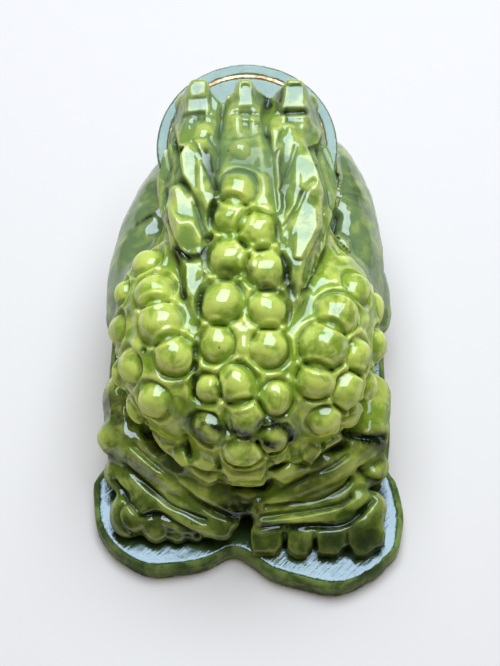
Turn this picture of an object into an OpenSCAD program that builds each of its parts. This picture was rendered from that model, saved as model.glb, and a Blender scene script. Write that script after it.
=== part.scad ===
// Carved stone toad sitting on a lobed slab, with a loose cash coin in its mouth.
// The toad looks along +Y and Z is up. The origin is on the slab's underside,
// midway between the slab's rear lobes and the coin's front edge.

/* [Slab] */
// Length from the right rear lobe to the front edge, under the forefeet
slab_l = 104; // [96:1:110]
// Width across the rear lobes
slab_w = 69; // [60:1:84]
// Thickness of the slab
slab_t = 5.5; // [4:0.5:8]
// Width of the bevel round the upper edge
slab_bevel = 1.2; // [0.4:0.1:2]
// Depth of the cleft between the rear lobes
cleft_depth = 8; // [4:0.5:12]
// How much shorter the left rear lobe is than the right one
left_lobe_cut = 4; // [0:0.5:8]

/* [Torso] */
// Distance from the right lobe's tip forward to the rump
rump_setback = 18; // [15:0.5:22]
// Length from the rump to the shoulders
torso_l = 53; // [44:1:64]
// Width at the hips, without the haunches
torso_w = 46; // [38:1:56]
// Height of the shoulders above the slab
torso_h = 53; // [44:1:64]

/* [Haunches] */
// Length of each haunch
haunch_l = 46; // [38:1:56]
// Width of each haunch
haunch_w = 23; // [19:1:28]
// Height of the lower end of each haunch above the slab
haunch_foot = 10.5; // [8:0.5:13]
// How far the middle of each haunch lies inside the torso's side
haunch_inset = 6; // [5:0.5:8]
// Distance from the rump forward to the middle of each haunch
haunch_at = 28; // [23:1:34]
// How far the crest of each haunch lies below the shoulders
haunch_drop = 8.5; // [6:0.5:11]

/* [Head] */
// Width of the head across the cheeks
head_w = 38; // [32:1:46]
// Length of the head from the shoulders to the brow
head_l = 19; // [16:0.5:23]
// Distance that the eyes and the nose reach in front of the brow
face_l = 11; // [9:0.5:13]
// Width of a flat-topped eyelid
lid_w = 6.6; // [5.6:0.2:7.6]
// Distance between the middles of the two eyelids
lid_span = 21.4; // [18:0.2:25]
// Width of the flat-topped nose
nose_w = 5.6; // [4.6:0.2:6.6]
// How much the flat tops of the eyelids and the nose rise towards their tips
flat_rise = 3.4; // [2:0.2:5]
// Diameter of each eyeball
eye_d = 6.4; // [5.4:0.2:7.4]

/* [Chest] */
// Width of the smooth chest between the forelegs
chest_w = 46; // [38:1:54]
// Length of the chest
chest_l = 58; // [48:1:64]
// Height of the chest
chest_h = 34; // [28:1:40]
// Height of the middle of the chest above the slab
chest_rise = 14; // [12:0.5:16]
// Thickness of the lower lip under the coin
lip_t = 8; // [6.5:0.5:9.5]

/* [Legs] */
// Distance from the slab's widest edge in to each knee
knee_inset = 2; // [0:0.5:6]
// Thickness of the thigh, the largest fold of a hind leg
thigh_d = 12; // [10:0.5:14]
// Length of a hind toe
toe_l = 9; // [7:0.5:11]
// Thickness of a hind toe
toe_d = 6.6; // [5.6:0.2:7]
// Width of the slots between the right foot's toes
toe_slot = 1; // [0.6:0.1:1.6]
// Width of the smooth upper arm of a foreleg
arm_w = 20; // [17:0.5:23]
// Length of the upper arm
arm_l = 57; // [50:1:62]
// Height of the upper arm
arm_h = 27; // [24:0.5:30]
// Height of the middle of each upper arm above the slab
arm_rise = 18; // [16:0.5:20]
// How far the middle of each upper arm lies inside the chest's side
arm_inset = 4.5; // [2.5:0.5:7]
// Thickness of a forearm at its elbow
forearm_d = 10.4; // [9:0.2:12]

/* [Pearls and scales] */
// Diameter of a middle-sized pearl at its foot
pearl_d = 7.6; // [6.4:0.2:9]
// Height of a middle-sized pearl
pearl_h = 2.8; // [2.2:0.1:3.4]
// Width of the wide scale in the middle of the rump's hem
mid_scale_w = 10.5; // [8.5:0.5:12.5]
// Count of the small scales along the hem on each side
scale_count = 4; // [3:1:5]
// Width of one small scale
scale_w = 6.2; // [5:0.1:7.5]

/* [Coin] */
// Diameter of the coin
coin_d = 41; // [34:0.5:49]
// Thickness of the coin
coin_t = 3.6; // [3:0.1:4.4]
// Height of the coin's centre above the slab
mouth_h = 37.5; // [34:0.5:41]
// Distance from the shoulders forward to the coin's middle
coin_reach = 20; // [18:0.5:22]
// Upward tilt of the mouth and of the coin in it
coin_tilt = 12; // [9:1:15]
// Clearance between the coin and its slot
coin_gap = 0.3; // [0.2:0.05:0.5]
// Width of the square hole in the coin
coin_hole = 7; // [5.5:0.5:8.5]
// Turn of the coin's pattern about its centre
coin_turn = 14; // [0:1:45]
// Diameter of the gilt ring on each face, at the middle of its line
ring_d = 35; // [29:0.5:37]
// Width of a gilt line
gilt_w = 0.9; // [0.6:0.1:1.2]
// Depth of the engraved lines that the gilding fills
gilt_depth = 0.4; // [0.3:0.05:0.6]

/* [Hidden] */
left = -1;
right = 1;
stone = "olivedrab";
dark_stone = "darkolivegreen";
pearl_stone = "yellowgreen";
gilt = "goldenrod";
section_points = 28;
mass_fn = 22;
limb_fn = 12;
far = 200;

// The whole length runs from the right rear lobe to the coin's front edge, with the origin halfway.
coin_plan_l = coin_d * cos(coin_tilt) + coin_t * sin(coin_tilt);
slab_rear = (rump_setback + torso_l + coin_reach + coin_plan_l / 2) / 2;
slab_front = slab_l - slab_rear;
rump_y = rump_setback - slab_rear;
shoulder_y = rump_y + torso_l;
brow_y = shoulder_y + head_l;
face_y = brow_y + face_l;
crown_z = slab_t + torso_h;
knee_x = slab_w / 2 - knee_inset;
coin_y = shoulder_y + coin_reach;
coin_z = slab_t + mouth_h;

// Smooth curve through one column of a table whose first column rises.
function row_before(t, table, i = 0) =
  i >= len(table) - 2 || t < table[i + 1][0] ? i : row_before(t, table, i + 1);
function slope(table, i, column) =
  let (a = max(i - 1, 0), b = min(i + 1, len(table) - 1))
  (table[b][column] - table[a][column]) / (table[b][0] - table[a][0]);
function along(t, table, column) =
  let (
    i = row_before(t, table),
    step = table[i + 1][0] - table[i][0],
    s = (t - table[i][0]) / step
  )
  (2 * s - 3) * s * s * (table[i][column] - table[i + 1][column]) + table[i][column]
  + s * (s - 1) * step * ((s - 1) * slope(table, i, column) + s * slope(table, i + 1, column));
function signed_power(v, p) = sign(v) * pow(abs(v), p);

// Solid through closed convex sections, given one after the other.
module loft(sections)
  for (i = [0 : len(sections) - 2])
    hull() polyhedron(
      concat(sections[i], sections[i + 1]),
      [[for (k = [0 : 2 * len(sections[i]) - 1]) k]]
    );

// Rounded limb through beads, each [x, y, z, diameter].
module limb(beads)
  for (i = [0 : len(beads) - 2])
    hull() for (bead = [beads[i], beads[i + 1]])
      translate([bead.x, bead.y, bead.z]) sphere(d = bead[3], $fn = limb_fn);

module egg(centre, size)
  translate(centre) scale(size) sphere(d = 1, $fn = mass_fn);

// Slab: a closed smooth outline through hand-set points, from the cleft round by the right.
// Each point is a share of the half width, then a share of slab_front or, behind, of the lobe there.
cleft_x = -0.04;
right_edge = [
  [0.10, -0.91], [0.34, -0.97], [0.62, -1.00], [0.82, -0.98], [0.96, -0.90], [1.00, -0.78],
  [0.97, -0.65], [0.92, -0.53], [0.96, -0.34], [0.94, -0.05], [0.90, 0.42], [0.76, 0.84],
];
left_edge = [
  [-0.76, 0.84], [-0.90, 0.42], [-0.94, -0.05], [-0.95, -0.32], [-0.92, -0.48], [-0.98, -0.64],
  [-0.99, -0.79], [-0.90, -0.93], [-0.68, -1.00], [-0.38, -1.00], [-0.16, -0.96],
];
function lobe(share) = slab_rear - (share < cleft_x ? left_lobe_cut : 0);
slab_corners = concat(
  [[cleft_x * slab_w / 2, cleft_depth - slab_rear]],
  [for (p = concat(right_edge, [[0, 1]], left_edge))
    [p.x * slab_w / 2, p.y * (p.y > 0 ? slab_front : lobe(p.x))]]
);
corner_count = len(slab_corners);
function corner(i) = slab_corners[(i + corner_count) % corner_count];
function smooth_between(a, b, c, d, t) =
  b + t / 2 * (c - a + t * (2 * a - 5 * b + 4 * c - d + t * (3 * (b - c) + d - a)));
slab_steps = 3;
slab_edge = [
  for (i = [0 : corner_count - 1], k = [0 : slab_steps - 1])
    smooth_between(corner(i - 1), corner(i), corner(i + 1), corner(i + 2), k / slab_steps)
];
edge_count = len(slab_edge);
function inward(i) =
  let (along_edge = slab_edge[(i + 1) % edge_count] - slab_edge[(i + edge_count - 1) % edge_count])
  [-along_edge.y, along_edge.x] / norm(along_edge);
function slab_ring(z, inset) =
  [for (i = [0 : edge_count - 1]) concat(slab_edge[i] + inset * inward(i), z)];

module base_slab() {
  rings = [slab_ring(0, 0), slab_ring(slab_t - slab_bevel, 0), slab_ring(slab_t, slab_bevel)];
  n = edge_count;
  bottom = 3 * n;
  top = bottom + 1;
  color(dark_stone) polyhedron(
    concat(rings[0], rings[1], rings[2], [[0, 0, 0], [0, 0, slab_t]]),
    [
      for (r = [0, 1], k = [0 : n - 1]) each [
        [r * n + k, (r + 1) * n + k, r * n + (k + 1) % n],
        [r * n + (k + 1) % n, (r + 1) * n + k, (r + 1) * n + (k + 1) % n],
      ],
      for (k = [0 : n - 1]) each [
        [bottom, k, (k + 1) % n],
        [top, 2 * n + (k + 1) % n, 2 * n + k],
      ],
    ]
  );
}

// Torso: each row is a place from rump to shoulders, then the half width, the underside and
// the back there, as shares of torso_l, torso_w / 2 and torso_h.
torso_profile = [
  [0.00, 0.20, 0.28, 0.52],
  [0.05, 0.42, 0.16, 0.63],
  [0.12, 0.60, 0.02, 0.71],
  [0.23, 0.79, -0.08, 0.79],
  [0.43, 0.96, -0.08, 0.87],
  [0.66, 1.00, -0.08, 0.93],
  [0.85, 0.95, -0.08, 0.97],
  [1.00, 0.88, -0.08, 1.00],
];
torso_square = 2.3;
torso_places = [0, 0.02, 0.05, 0.09, 0.14, 0.2, 0.3, 0.4, 0.5, 0.6, 0.7, 0.8, 0.9, 1];

// A point of the torso's skin, a share t of the way forward and an angle a round from the crest.
function torso_skin(t, a) =
  let (
    half = along(t, torso_profile, 1) * torso_w / 2,
    under = along(t, torso_profile, 2) * torso_h,
    back = along(t, torso_profile, 3) * torso_h
  )
  [
    half * signed_power(sin(a), 2 / torso_square),
    rump_y + t * torso_l,
    slab_t + (under + back) / 2 + (back - under) / 2 * signed_power(cos(a), 2 / torso_square),
  ];

// Height of the back at a place x, y, for what lies on it.
function back_z(x, y) =
  let (
    t = max(0, min(1, (y - rump_y) / torso_l)),
    half = along(t, torso_profile, 1) * torso_w / 2,
    under = along(t, torso_profile, 2) * torso_h,
    back = along(t, torso_profile, 3) * torso_h,
    side = min(1, abs(x) / half)
  )
  slab_t + (under + back) / 2 + (back - under) / 2 * pow(1 - pow(side, torso_square), 1 / torso_square);

module torso_form()
  loft([
    for (t = torso_places)
      [for (k = [0 : section_points - 1]) torso_skin(t, k * 360 / section_points)]
  ]);

// Haunches: egg shapes whose rear ends turn in towards the rump.
haunch_yaw = 8;
haunch_h = torso_h - haunch_drop - haunch_foot;
haunch_rise = haunch_foot + haunch_h / 2;
haunch_x = torso_w / 2 - haunch_inset;
module on_haunch(side)
  mirror([side < 0 ? 1 : 0, 0, 0])
    translate([haunch_x, rump_y + haunch_at, slab_t + haunch_rise])
      rotate([0, 0, -haunch_yaw])
        children();
module haunch_form(side) on_haunch(side) egg([0, 0, 0], [haunch_w, haunch_l, haunch_h]);

// Coin and mouth: the coin's own plane leans up towards the front.
module in_mouth() translate([0, coin_y, coin_z]) rotate([coin_tilt, 0, 0]) children();
module coin_slot()
  in_mouth() hull() for (y = [0, coin_d])
    translate([0, y, 0])
      cylinder(d = coin_d + 2 * coin_gap, h = coin_t + 2 * coin_gap, center = true, $fn = 64);
module above_mouth() in_mouth() translate([-far / 2, -far / 2, 0]) cube(far);

module head_form()
  intersection() {
    union() {
      hull() {
        egg([0, shoulder_y + 2, crown_z - 12], [head_w, 18, 24]);
        egg([0, shoulder_y + head_l / 2, crown_z - 12], [head_w, 16, 24]);
        egg([0, brow_y - 4, crown_z - 12], [head_w * 0.92, 8, 20]);
      }
      hull() {
        egg([0, brow_y - 4, crown_z - 13], [head_w * 0.88, 8, 17]);
        egg([0, brow_y + 2.5, crown_z - 15.5], [head_w * 0.82, 6, 11]);
      }
    }
    above_mouth();
  }

// Flat-topped prong of the face, from the brow forward, wider at its foot on the coin's slot.
// Its flat narrows and rises towards the tip.
module prong(x, w, lean) {
  edge_d = 2;
  heel_half = (w - edge_d) / 2;
  heel_z = crown_z - flat_rise * 0.65 - edge_d / 2;
  foot = coin_z + (brow_y - coin_y) * tan(coin_tilt);
  tip_foot = foot + (face_l - 3) * tan(coin_tilt);
  hull() {
    for (dx = [-1, 1]) {
      translate([x + dx * heel_half, brow_y - 1.5, heel_z]) sphere(d = edge_d, $fn = limb_fn);
      translate([x + dx * heel_half * 0.5, face_y - 3.2, heel_z + flat_rise])
        sphere(d = edge_d, $fn = limb_fn);
      translate([x + lean + dx * w * 0.9, brow_y - 2, foot]) sphere(d = 3, $fn = limb_fn);
      translate([x + lean + dx * w * 0.6, face_y - 3, tip_foot]) sphere(d = 3, $fn = limb_fn);
    }
    translate([x, face_y - 1.2, heel_z + flat_rise - 3]) sphere(d = 2.4, $fn = limb_fn);
  }
}
module nose_form() prong(-0.4, nose_w, 0);
module lid_form(side) prong(side * lid_span / 2, lid_w, side);
module eye_form(side)
  translate([side * (lid_span / 2 + 2.3), face_y - eye_d * 0.55, crown_z - eye_d * 1.15])
    sphere(d = eye_d, $fn = 16);

// Chest with its throat, and the lower lip below the coin.
module chest_form()
  hull() {
    egg([0, shoulder_y + chest_l / 2 - 23, slab_t + chest_rise], [chest_w, chest_l, chest_h]);
    egg(
      [0, shoulder_y + chest_l * 0.2, slab_t + chest_rise + chest_h * 0.3],
      [chest_w * 0.84, chest_l * 0.52, chest_h * 0.6]
    );
  }
module lip_form() {
  drop = -(coin_t + lip_t) / 2;
  hull() {
    in_mouth() egg([0, -coin_d * 0.3, drop - 2], [coin_d * 0.98, coin_d * 0.4, lip_t + 6]);
    in_mouth() egg([0, coin_d * 0.1, drop], [coin_d * 0.84, coin_d * 0.4, lip_t + 2]);
    egg(
      [0, shoulder_y + chest_l * 0.28, slab_t + chest_rise + chest_h * 0.25],
      [coin_d * 0.7, chest_l * 0.45, chest_h * 0.35]
    );
  }
}

// Ears: flattened leaves that lie back along the shoulders. Each bead is [x, y, width].
leaf_flat = 0.72;
module leaf(side, beads, lift = 0)
  for (i = [0 : len(beads) - 2])
    hull() for (bead = [beads[i], beads[i + 1]]) {
      y = shoulder_y + bead.y;
      translate([side * bead.x, y, back_z(bead.x, y) + lift])
        scale([1, 1, leaf_flat]) sphere(d = bead.z, $fn = limb_fn);
    }
module ear_form(side) {
  leaf(side, [[16.6, 15, 5], [17.2, 7, 6.4], [16.4, -2, 5], [15.4, -8, 2.4]]);
  if (side == left) {
    leaf(side, [[9.5, 15, 6], [10.6, 8, 9], [9.2, 0, 6.4], [7.8, -5, 2.4]]);
    leaf(side, [[13.6, 5, 6], [13.4, -4, 9.6], [12.6, -11, 8.6], [12, -14.5, 5]]);
    leaf(side, [[10.6, -15, 4.6], [10.8, -21, 4.4], [11.4, -26, 2.4]]);
  } else {
    leaf(side, [
      [8.8, 15, 5], [10.4, 9, 8], [11.8, 1, 10.4], [11.8, -9, 9], [11.2, -18, 6], [10.8, -26, 1.8],
    ]);
    leaf(side, [[6.2, 14, 2.8], [6, 4, 2.8], [6.6, -6, 1.6]], 0.6);
  }
}

// Hind legs: folds of skin that sweep from the knee in to the middle.
// Each row is [share of knee_x, distance behind the rump, height above the slab, share of thigh_d].
left_folds = [
  [
    [0.83, -25, 9.5, 0.98], [0.80, -13, 10.5, 1.04], [0.56, -6, 11.5, 0.92],
    [0.26, -1, 9.5, 0.70], [0.08, 1.5, 7, 0.52],
  ],
  [[0.86, -7, 5.5, 0.74], [0.53, 0.5, 6.5, 0.68], [0.13, 4, 5.5, 0.52]],
  [[0.80, -1, 4.5, 0.56], [0.52, 3.5, 5, 0.50], [0.16, 6.5, 4.5, 0.40]],
];
right_folds = [
  [
    [0.83, -24, 10.5, 0.98], [0.79, -13, 11.5, 1.02], [0.53, -5.5, 12.5, 0.88],
    [0.25, -1, 10.5, 0.68], [0.06, 1.5, 7.5, 0.52],
  ],
  [[0.86, -8, 7, 0.68], [0.53, -1, 8, 0.60], [0.10, 3, 7, 0.44]],
  [[0.76, 0, 6, 0.54], [0.40, 3.5, 6, 0.48], [0.10, 6, 5, 0.40]],
];
module hind_leg_form(side)
  for (fold = side == left ? left_folds : right_folds)
    limb([for (b = fold) [side * b[0] * knee_x, rump_y - b[1], slab_t + b[2], b[3] * thigh_d]]);

// Hind feet: the left one curls round its heel, and the right one is a block with square toes.
// Each row of the left toes is [share of knee_x, setback of the tip, share of toe_d].
left_toes = [[0.62, 5, 0.95], [0.47, 5, 0.76], [0.35, 5.5, 0.68], [0.24, 6.5, 0.62]];
// The right toes lie between these shares of knee_x, with their tips set back from the lobe.
right_toe_edges = [0.03, 0.26, 0.47, 0.70, 0.95];
right_setbacks = [7.8, 7.6, 7.6, 8.2];
module left_foot_form() {
  heel = [-0.79 * knee_x, rump_y - 1.6, slab_t + toe_d * 0.6, toe_d * 1.35];
  limb([heel, heel + [0.8, -1.2, 0, 0]]);
  for (toe = left_toes) {
    d = toe[2] * toe_d;
    tip = [-toe[0] * knee_x, toe[1] + left_lobe_cut + d / 2 - slab_rear];
    limb([
      [tip.x, tip.y, slab_t + d * 0.4, d * 0.9],
      [tip.x - 1, tip.y + toe_l * 0.65, slab_t + d * 0.75, d],
    ]);
  }
}
module right_foot_form() {
  corner_d = 2.4;
  heel_d = toe_d * 1.2;
  toe_inset = (toe_slot + corner_d) / 2;
  toe_depth = toe_l * 0.62;
  for (i = [0 : 3]) {
    tip_y = right_setbacks[i] - slab_rear + corner_d / 2;
    side_profile = [
      [tip_y, 0], [tip_y, toe_d * 0.46], [tip_y + toe_depth * 0.5, toe_d * 0.72],
      [tip_y + toe_depth, toe_d * 0.8], [tip_y + toe_depth, 0],
    ];
    hull() for (
      x = [right_toe_edges[i] * knee_x + toe_inset, right_toe_edges[i + 1] * knee_x - toe_inset],
      p = side_profile
    )
      translate([x, p.x, slab_t + p.y]) sphere(d = corner_d, $fn = 8);
  }
  outer_x = right_toe_edges[4] * knee_x;
  inner_x = right_toe_edges[0] * knee_x;
  limb([
    [outer_x - heel_d * 0.4, right_setbacks[3] + toe_l - slab_rear, slab_t + heel_d * 0.5, heel_d],
    [outer_x - heel_d * 0.6, right_setbacks[3] + toe_depth - slab_rear, slab_t + heel_d * 0.4, heel_d],
    [inner_x + heel_d * 0.5, right_setbacks[0] + toe_depth - slab_rear, slab_t + heel_d * 0.3, heel_d * 0.9],
  ]);
}
module hind_foot_form(side) {
  if (side == left) left_foot_form();
  else right_foot_form();
}

// Forelegs: a broad smooth upper arm beside the chest, a forearm from elbow to wrist, and three toes.
// The left arm turns in more than the right one and lies further back.
arm_x = chest_w / 2 - arm_inset;
wrist_x = arm_x + 2.5;
wrist_y = shoulder_y + 17;
function arm_yaw(side) = side == left ? 14 : 7;
function arm_y(side) = shoulder_y + (side == left ? 5 : 8);
function elbow_x(side) = knee_x * (side == left ? 0.77 : 0.82);
module foreleg_form(side) {
  translate([side * arm_x, arm_y(side), slab_t + arm_rise])
    rotate([0, 0, side * arm_yaw(side)]) egg([0, 0, 0], [arm_w, arm_l, arm_h]);
  limb([
    [side * elbow_x(side), shoulder_y - 8, slab_t + 8, forearm_d],
    [side * elbow_x(side), shoulder_y + 3, slab_t + 6.5, forearm_d],
    [side * wrist_x, wrist_y, slab_t + 4, forearm_d * 0.8],
  ]);
}
module forefoot_form(side)
  for (toe = [-1, 0, 1])
    limb([
      [side * wrist_x, wrist_y, slab_t + 3, forearm_d * 0.7],
      [side * (wrist_x - 2 + toe * 4.2), wrist_y + 8.5 - abs(toe), slab_t + 2.2, forearm_d * 0.48],
    ]);

// Scales: pointed tiles along the curved hem below the rump, with a wide one in the middle.
hem_r = 20;
hem_depth = 11;
hem_rise = 16.5;
mid_scale_turn = 28;
scale_turn = 62;
module scale_tile(a, w)
  translate([hem_r * sin(a), rump_y + 0.4 + hem_depth * (1 - cos(a)), slab_t + hem_rise])
    rotate([24 * cos(a), -24 * sin(a), 0]) rotate([0, 0, a]) hull() {
      translate([0, 2, 1]) cube([w, 3, 9], center = true);
      translate([0, -1, -0.4]) cube([w * 0.7, 1, 5], center = true);
      translate([0, 0.5, -4.4]) cube([w * 0.3, 1.6, 1], center = true);
    }
module scales_form() {
  scale_tile(0, mid_scale_w);
  for (side = [left, right], i = [0 : scale_count - 1])
    scale_tile(side * (mid_scale_turn + i * scale_turn / (scale_count - 1)), scale_w);
}

// Pearls centred on the torso's skin: [distance from the rump, angle from the crest, size].
spine_spots = [
  [52, -4, 1.0], [46, -7, 1.0], [42.5, 4, 1.0], [36.5, -8, 1.05], [34, 8, 1.05], [27, -11, 1.15],
  [25.5, 9, 1.0], [18.5, -15, 0.95], [17.5, 11, 1.0], [10.5, -5, 1.0], [10.5, -26, 0.75],
  [8.5, 21, 0.9], [5, -1, 1.0], [4.5, -43, 0.95], [2.5, 36, 0.85], [0.5, -7, 1.0],
];
// Pearls centred on a haunch: [angle forward of its middle, angle out from its crest, size].
left_spots = [
  [38, 20, 0.95], [11, 14, 1.1], [-9, 13, 1.2], [25, 60, 0.8],
  [3, 67, 0.85], [-22, 62, 1.0], [-30, -1, 1.05], [-50, 50, 1.0],
  [14, 96, 0.9], [-12, 100, 1.0], [-38, 98, 0.9],
];
right_spots = [
  [19, 35, 0.95], [-3, 15, 1.15], [-24, 3, 1.25], [-20, 50, 0.95],
  [-45, -3, 0.95], [-41, 54, 1.0], [-69, 46, 0.9],
  [24, 82, 0.9], [0, 84, 1.0], [-24, 92, 0.95], [-46, 94, 0.85],
];
// A dome on a skin, standing along the skin's normal there.
pearl_r = (pearl_d * pearl_d / 4 + pearl_h * pearl_h) / (2 * pearl_h);
module pearl(place, normal, size)
  translate(place)
    rotate([0, acos(normal.z / norm(normal)), atan2(normal.y, normal.x)])
      scale(size) difference() {
        translate([0, 0, pearl_h - pearl_r]) sphere(r = pearl_r, $fn = 48);
        translate([0, 0, -pearl_d]) cube(2 * pearl_d, center = true);
      }
function torso_normal(t, a) =
  cross(torso_skin(t + 0.01, a) - torso_skin(t - 0.01, a), torso_skin(t, a - 1) - torso_skin(t, a + 1));
module spine_pearls()
  color(pearl_stone) for (spot = spine_spots) {
    t = spot[0] / torso_l;
    pearl(torso_skin(t, spot[1]), torso_normal(t, spot[1]), spot[2]);
  }
module flank_pearls(side)
  color(pearl_stone) for (spot = side == left ? left_spots : right_spots) {
    out = [cos(spot[0]) * sin(spot[1]), sin(spot[0]), cos(spot[0]) * cos(spot[1])];
    on_haunch(side) pearl(
      [out.x * haunch_w, out.y * haunch_l, out.z * haunch_h] / 2,
      [out.x / haunch_w, out.y / haunch_l, out.z / haunch_h],
      spot[2]
    );
  }
module left_flank_pearls() flank_pearls(left);
module right_flank_pearls() flank_pearls(right);

// The stone's members, largest first. Each one is carved away where a larger one stands.
module member_form(rank) {
  if (rank == 0) torso_form();
  if (rank == 1) haunch_form(left);
  if (rank == 2) haunch_form(right);
  if (rank == 3) head_form();
  if (rank == 4) chest_form();
  if (rank == 5) lip_form();
  if (rank == 6) nose_form();
  if (rank == 7) lid_form(left);
  if (rank == 8) lid_form(right);
  if (rank == 9) eye_form(left);
  if (rank == 10) eye_form(right);
  if (rank == 11) ear_form(left);
  if (rank == 12) ear_form(right);
  if (rank == 13) hind_leg_form(left);
  if (rank == 14) hind_leg_form(right);
  if (rank == 15) hind_foot_form(left);
  if (rank == 16) hind_foot_form(right);
  if (rank == 17) foreleg_form(left);
  if (rank == 18) foreleg_form(right);
  if (rank == 19) forefoot_form(left);
  if (rank == 20) forefoot_form(right);
  if (rank == 21) scales_form();
}
module member(rank)
  difference() {
    member_form(rank);
    for (larger = [0 : 1 : rank - 1]) member_form(larger);
    translate([-far / 2, -far / 2, slab_t - far]) cube(far);
    coin_slot();
  }

module torso() color(stone) member(0);
module left_haunch() color(stone) member(1);
module right_haunch() color(stone) member(2);
module head() color(stone) member(3);
module chest() color(stone) member(4);
module lower_lip() color(stone) member(5);
module nose() color(stone) member(6);
module left_eyelid() color(stone) member(7);
module right_eyelid() color(stone) member(8);
module left_eye() color(pearl_stone) member(9);
module right_eye() color(pearl_stone) member(10);
module left_ear() color(stone) member(11);
module right_ear() color(stone) member(12);
module left_hind_leg() color(dark_stone) member(13);
module right_hind_leg() color(dark_stone) member(14);
module left_hind_foot() color(dark_stone) member(15);
module right_hind_foot() color(dark_stone) member(16);
module left_foreleg() color(dark_stone) member(17);
module right_foreleg() color(dark_stone) member(18);
module left_forefoot() color(dark_stone) member(19);
module right_forefoot() color(dark_stone) member(20);
module rump_scales() color(stone) member(21);

// Coin: a disc with a square hole, engraved alike on both faces and filled with gilding.
ray_out = ring_d / 2 - gilt_w;
ray_in = coin_hole * 0.8;
module on_faces()
  in_mouth() for (face = [0, 180])
    rotate([0, face, 0]) translate([0, 0, coin_t / 2 - gilt_depth]) rotate([0, 0, coin_turn]) children();
module ring_lines()
  difference() {
    circle(d = ring_d + gilt_w, $fn = 96);
    circle(d = ring_d - gilt_w, $fn = 96);
  }
module ray_lines()
  for (a = [45 : 90 : 315])
    rotate(a) translate([ray_in, -gilt_w / 2]) square([ray_out - ray_in, gilt_w]);
module blossom_lines()
  for (a = [0 : 90 : 270])
    rotate(a) translate([0, (ring_d / 2 + ray_in) / 2])
      for (petal = [45 : 90 : 315])
        rotate(petal) translate([gilt_w * 1.6, 0]) circle(d = gilt_w * 1.5, $fn = 24);
module inlay() linear_extrude(gilt_depth) children();

module coin()
  color(stone) difference() {
    in_mouth() rotate([0, 0, coin_turn]) difference() {
      cylinder(d = coin_d, h = coin_t, center = true, $fn = 96);
      cube([coin_hole, coin_hole, 2 * coin_t], center = true);
    }
    on_faces() linear_extrude(coin_t) {
      ring_lines();
      ray_lines();
      blossom_lines();
    }
  }
module coin_ring_inlay() color(gilt) on_faces() inlay() ring_lines();
module coin_ray_inlay() color(gilt) on_faces() inlay() ray_lines();
module coin_blossom_inlay() color(gilt) on_faces() inlay() blossom_lines();

base_slab();
torso();
left_haunch();
right_haunch();
chest();
head();
lower_lip();
nose();
left_eyelid();
right_eyelid();
left_eye();
right_eye();
left_ear();
right_ear();
left_hind_leg();
right_hind_leg();
left_hind_foot();
right_hind_foot();
left_foreleg();
right_foreleg();
left_forefoot();
right_forefoot();
rump_scales();
spine_pearls();
left_flank_pearls();
right_flank_pearls();
coin();
coin_ring_inlay();
coin_ray_inlay();
coin_blossom_inlay();
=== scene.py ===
import math
import random

import bpy
import numpy as np
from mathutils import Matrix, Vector, noise
from mathutils.bvhtree import BVHTree
from mathutils.kdtree import KDTree


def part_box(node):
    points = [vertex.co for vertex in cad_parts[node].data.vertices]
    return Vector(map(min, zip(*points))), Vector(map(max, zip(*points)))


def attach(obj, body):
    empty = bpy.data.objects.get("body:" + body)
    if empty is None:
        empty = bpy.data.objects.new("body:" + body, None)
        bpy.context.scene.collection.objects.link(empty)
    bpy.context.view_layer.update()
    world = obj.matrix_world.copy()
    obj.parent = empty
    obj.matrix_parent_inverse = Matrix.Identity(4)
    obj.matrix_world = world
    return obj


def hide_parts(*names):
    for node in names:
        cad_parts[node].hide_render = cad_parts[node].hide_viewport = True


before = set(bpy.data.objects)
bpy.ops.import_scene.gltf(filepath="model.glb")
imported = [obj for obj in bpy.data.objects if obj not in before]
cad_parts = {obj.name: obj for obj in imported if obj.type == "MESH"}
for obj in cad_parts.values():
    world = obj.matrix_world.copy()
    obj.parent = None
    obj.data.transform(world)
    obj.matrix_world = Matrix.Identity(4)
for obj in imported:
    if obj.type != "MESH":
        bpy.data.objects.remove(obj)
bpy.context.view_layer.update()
print("frame loaded:", len(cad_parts), "nodes")

mm = 0.001  # the part is thought out in millimetres, Blender holds metres
farAway = 1e9  # more than any distance here
tiny = 1e-6  # too small to count
tableUp = np.array((0.0, 0.0, 1.0))


def addToScene(name, data):
    thing = bpy.data.objects.new(name, data)
    bpy.context.scene.collection.objects.link(thing)
    return thing


# camera, at the photo's view from behind and above

photoView = {
    "width": 500, "height": 666,   # pixels
    "elevation": 60.0,             # degrees above the table
    "distance": 450.0,             # mm from the aim point
    "aim": (0.67, -4.11, 28.0),    # mm, the point in the middle of the picture
    "scale": 4.47,                 # pixels per mm at the aim point
    "sensor": 36.0,                # mm, along the picture's height
    "clipStart": 10.0,             # mm, nothing nearer is drawn
}
focalPixels = photoView["scale"] * photoView["distance"]


def placeCamera(view):
    data = bpy.data.cameras.new("photoCamera")
    camera = addToScene("photoCamera", data)
    rise = math.radians(view["elevation"])
    back = Vector((0, -math.cos(rise), math.sin(rise)))
    camera.location = (Vector(view["aim"]) + back * view["distance"]) * mm
    camera.rotation_euler = (-back).to_track_quat("-Z", "Y").to_euler()
    data.sensor_fit = "VERTICAL"
    data.sensor_height = view["sensor"]
    data.lens = focalPixels * view["sensor"] / view["height"]
    data.clip_start = view["clipStart"] * mm
    data.dof.use_dof = False
    bpy.context.scene.camera = camera
    bpy.context.view_layer.update()
    return camera


camera = placeCamera(photoView)


def photoRay(x, y):
    # the ray through a pixel of the photo, in mm
    across, up = x - photoView["width"] / 2, photoView["height"] / 2 - y
    ahead = Vector((across / focalPixels, up / focalPixels, -1))
    turn = camera.matrix_world.to_quaternion()
    return camera.location / mm, (turn @ ahead).normalized()


def onPlane(pixel, up, level):
    # where the photo's view through a pixel meets the plane that lies level mm along up
    start, way = (np.array(v) for v in photoRay(*pixel))
    return start + way * (level - start @ up) / (way @ up)


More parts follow.
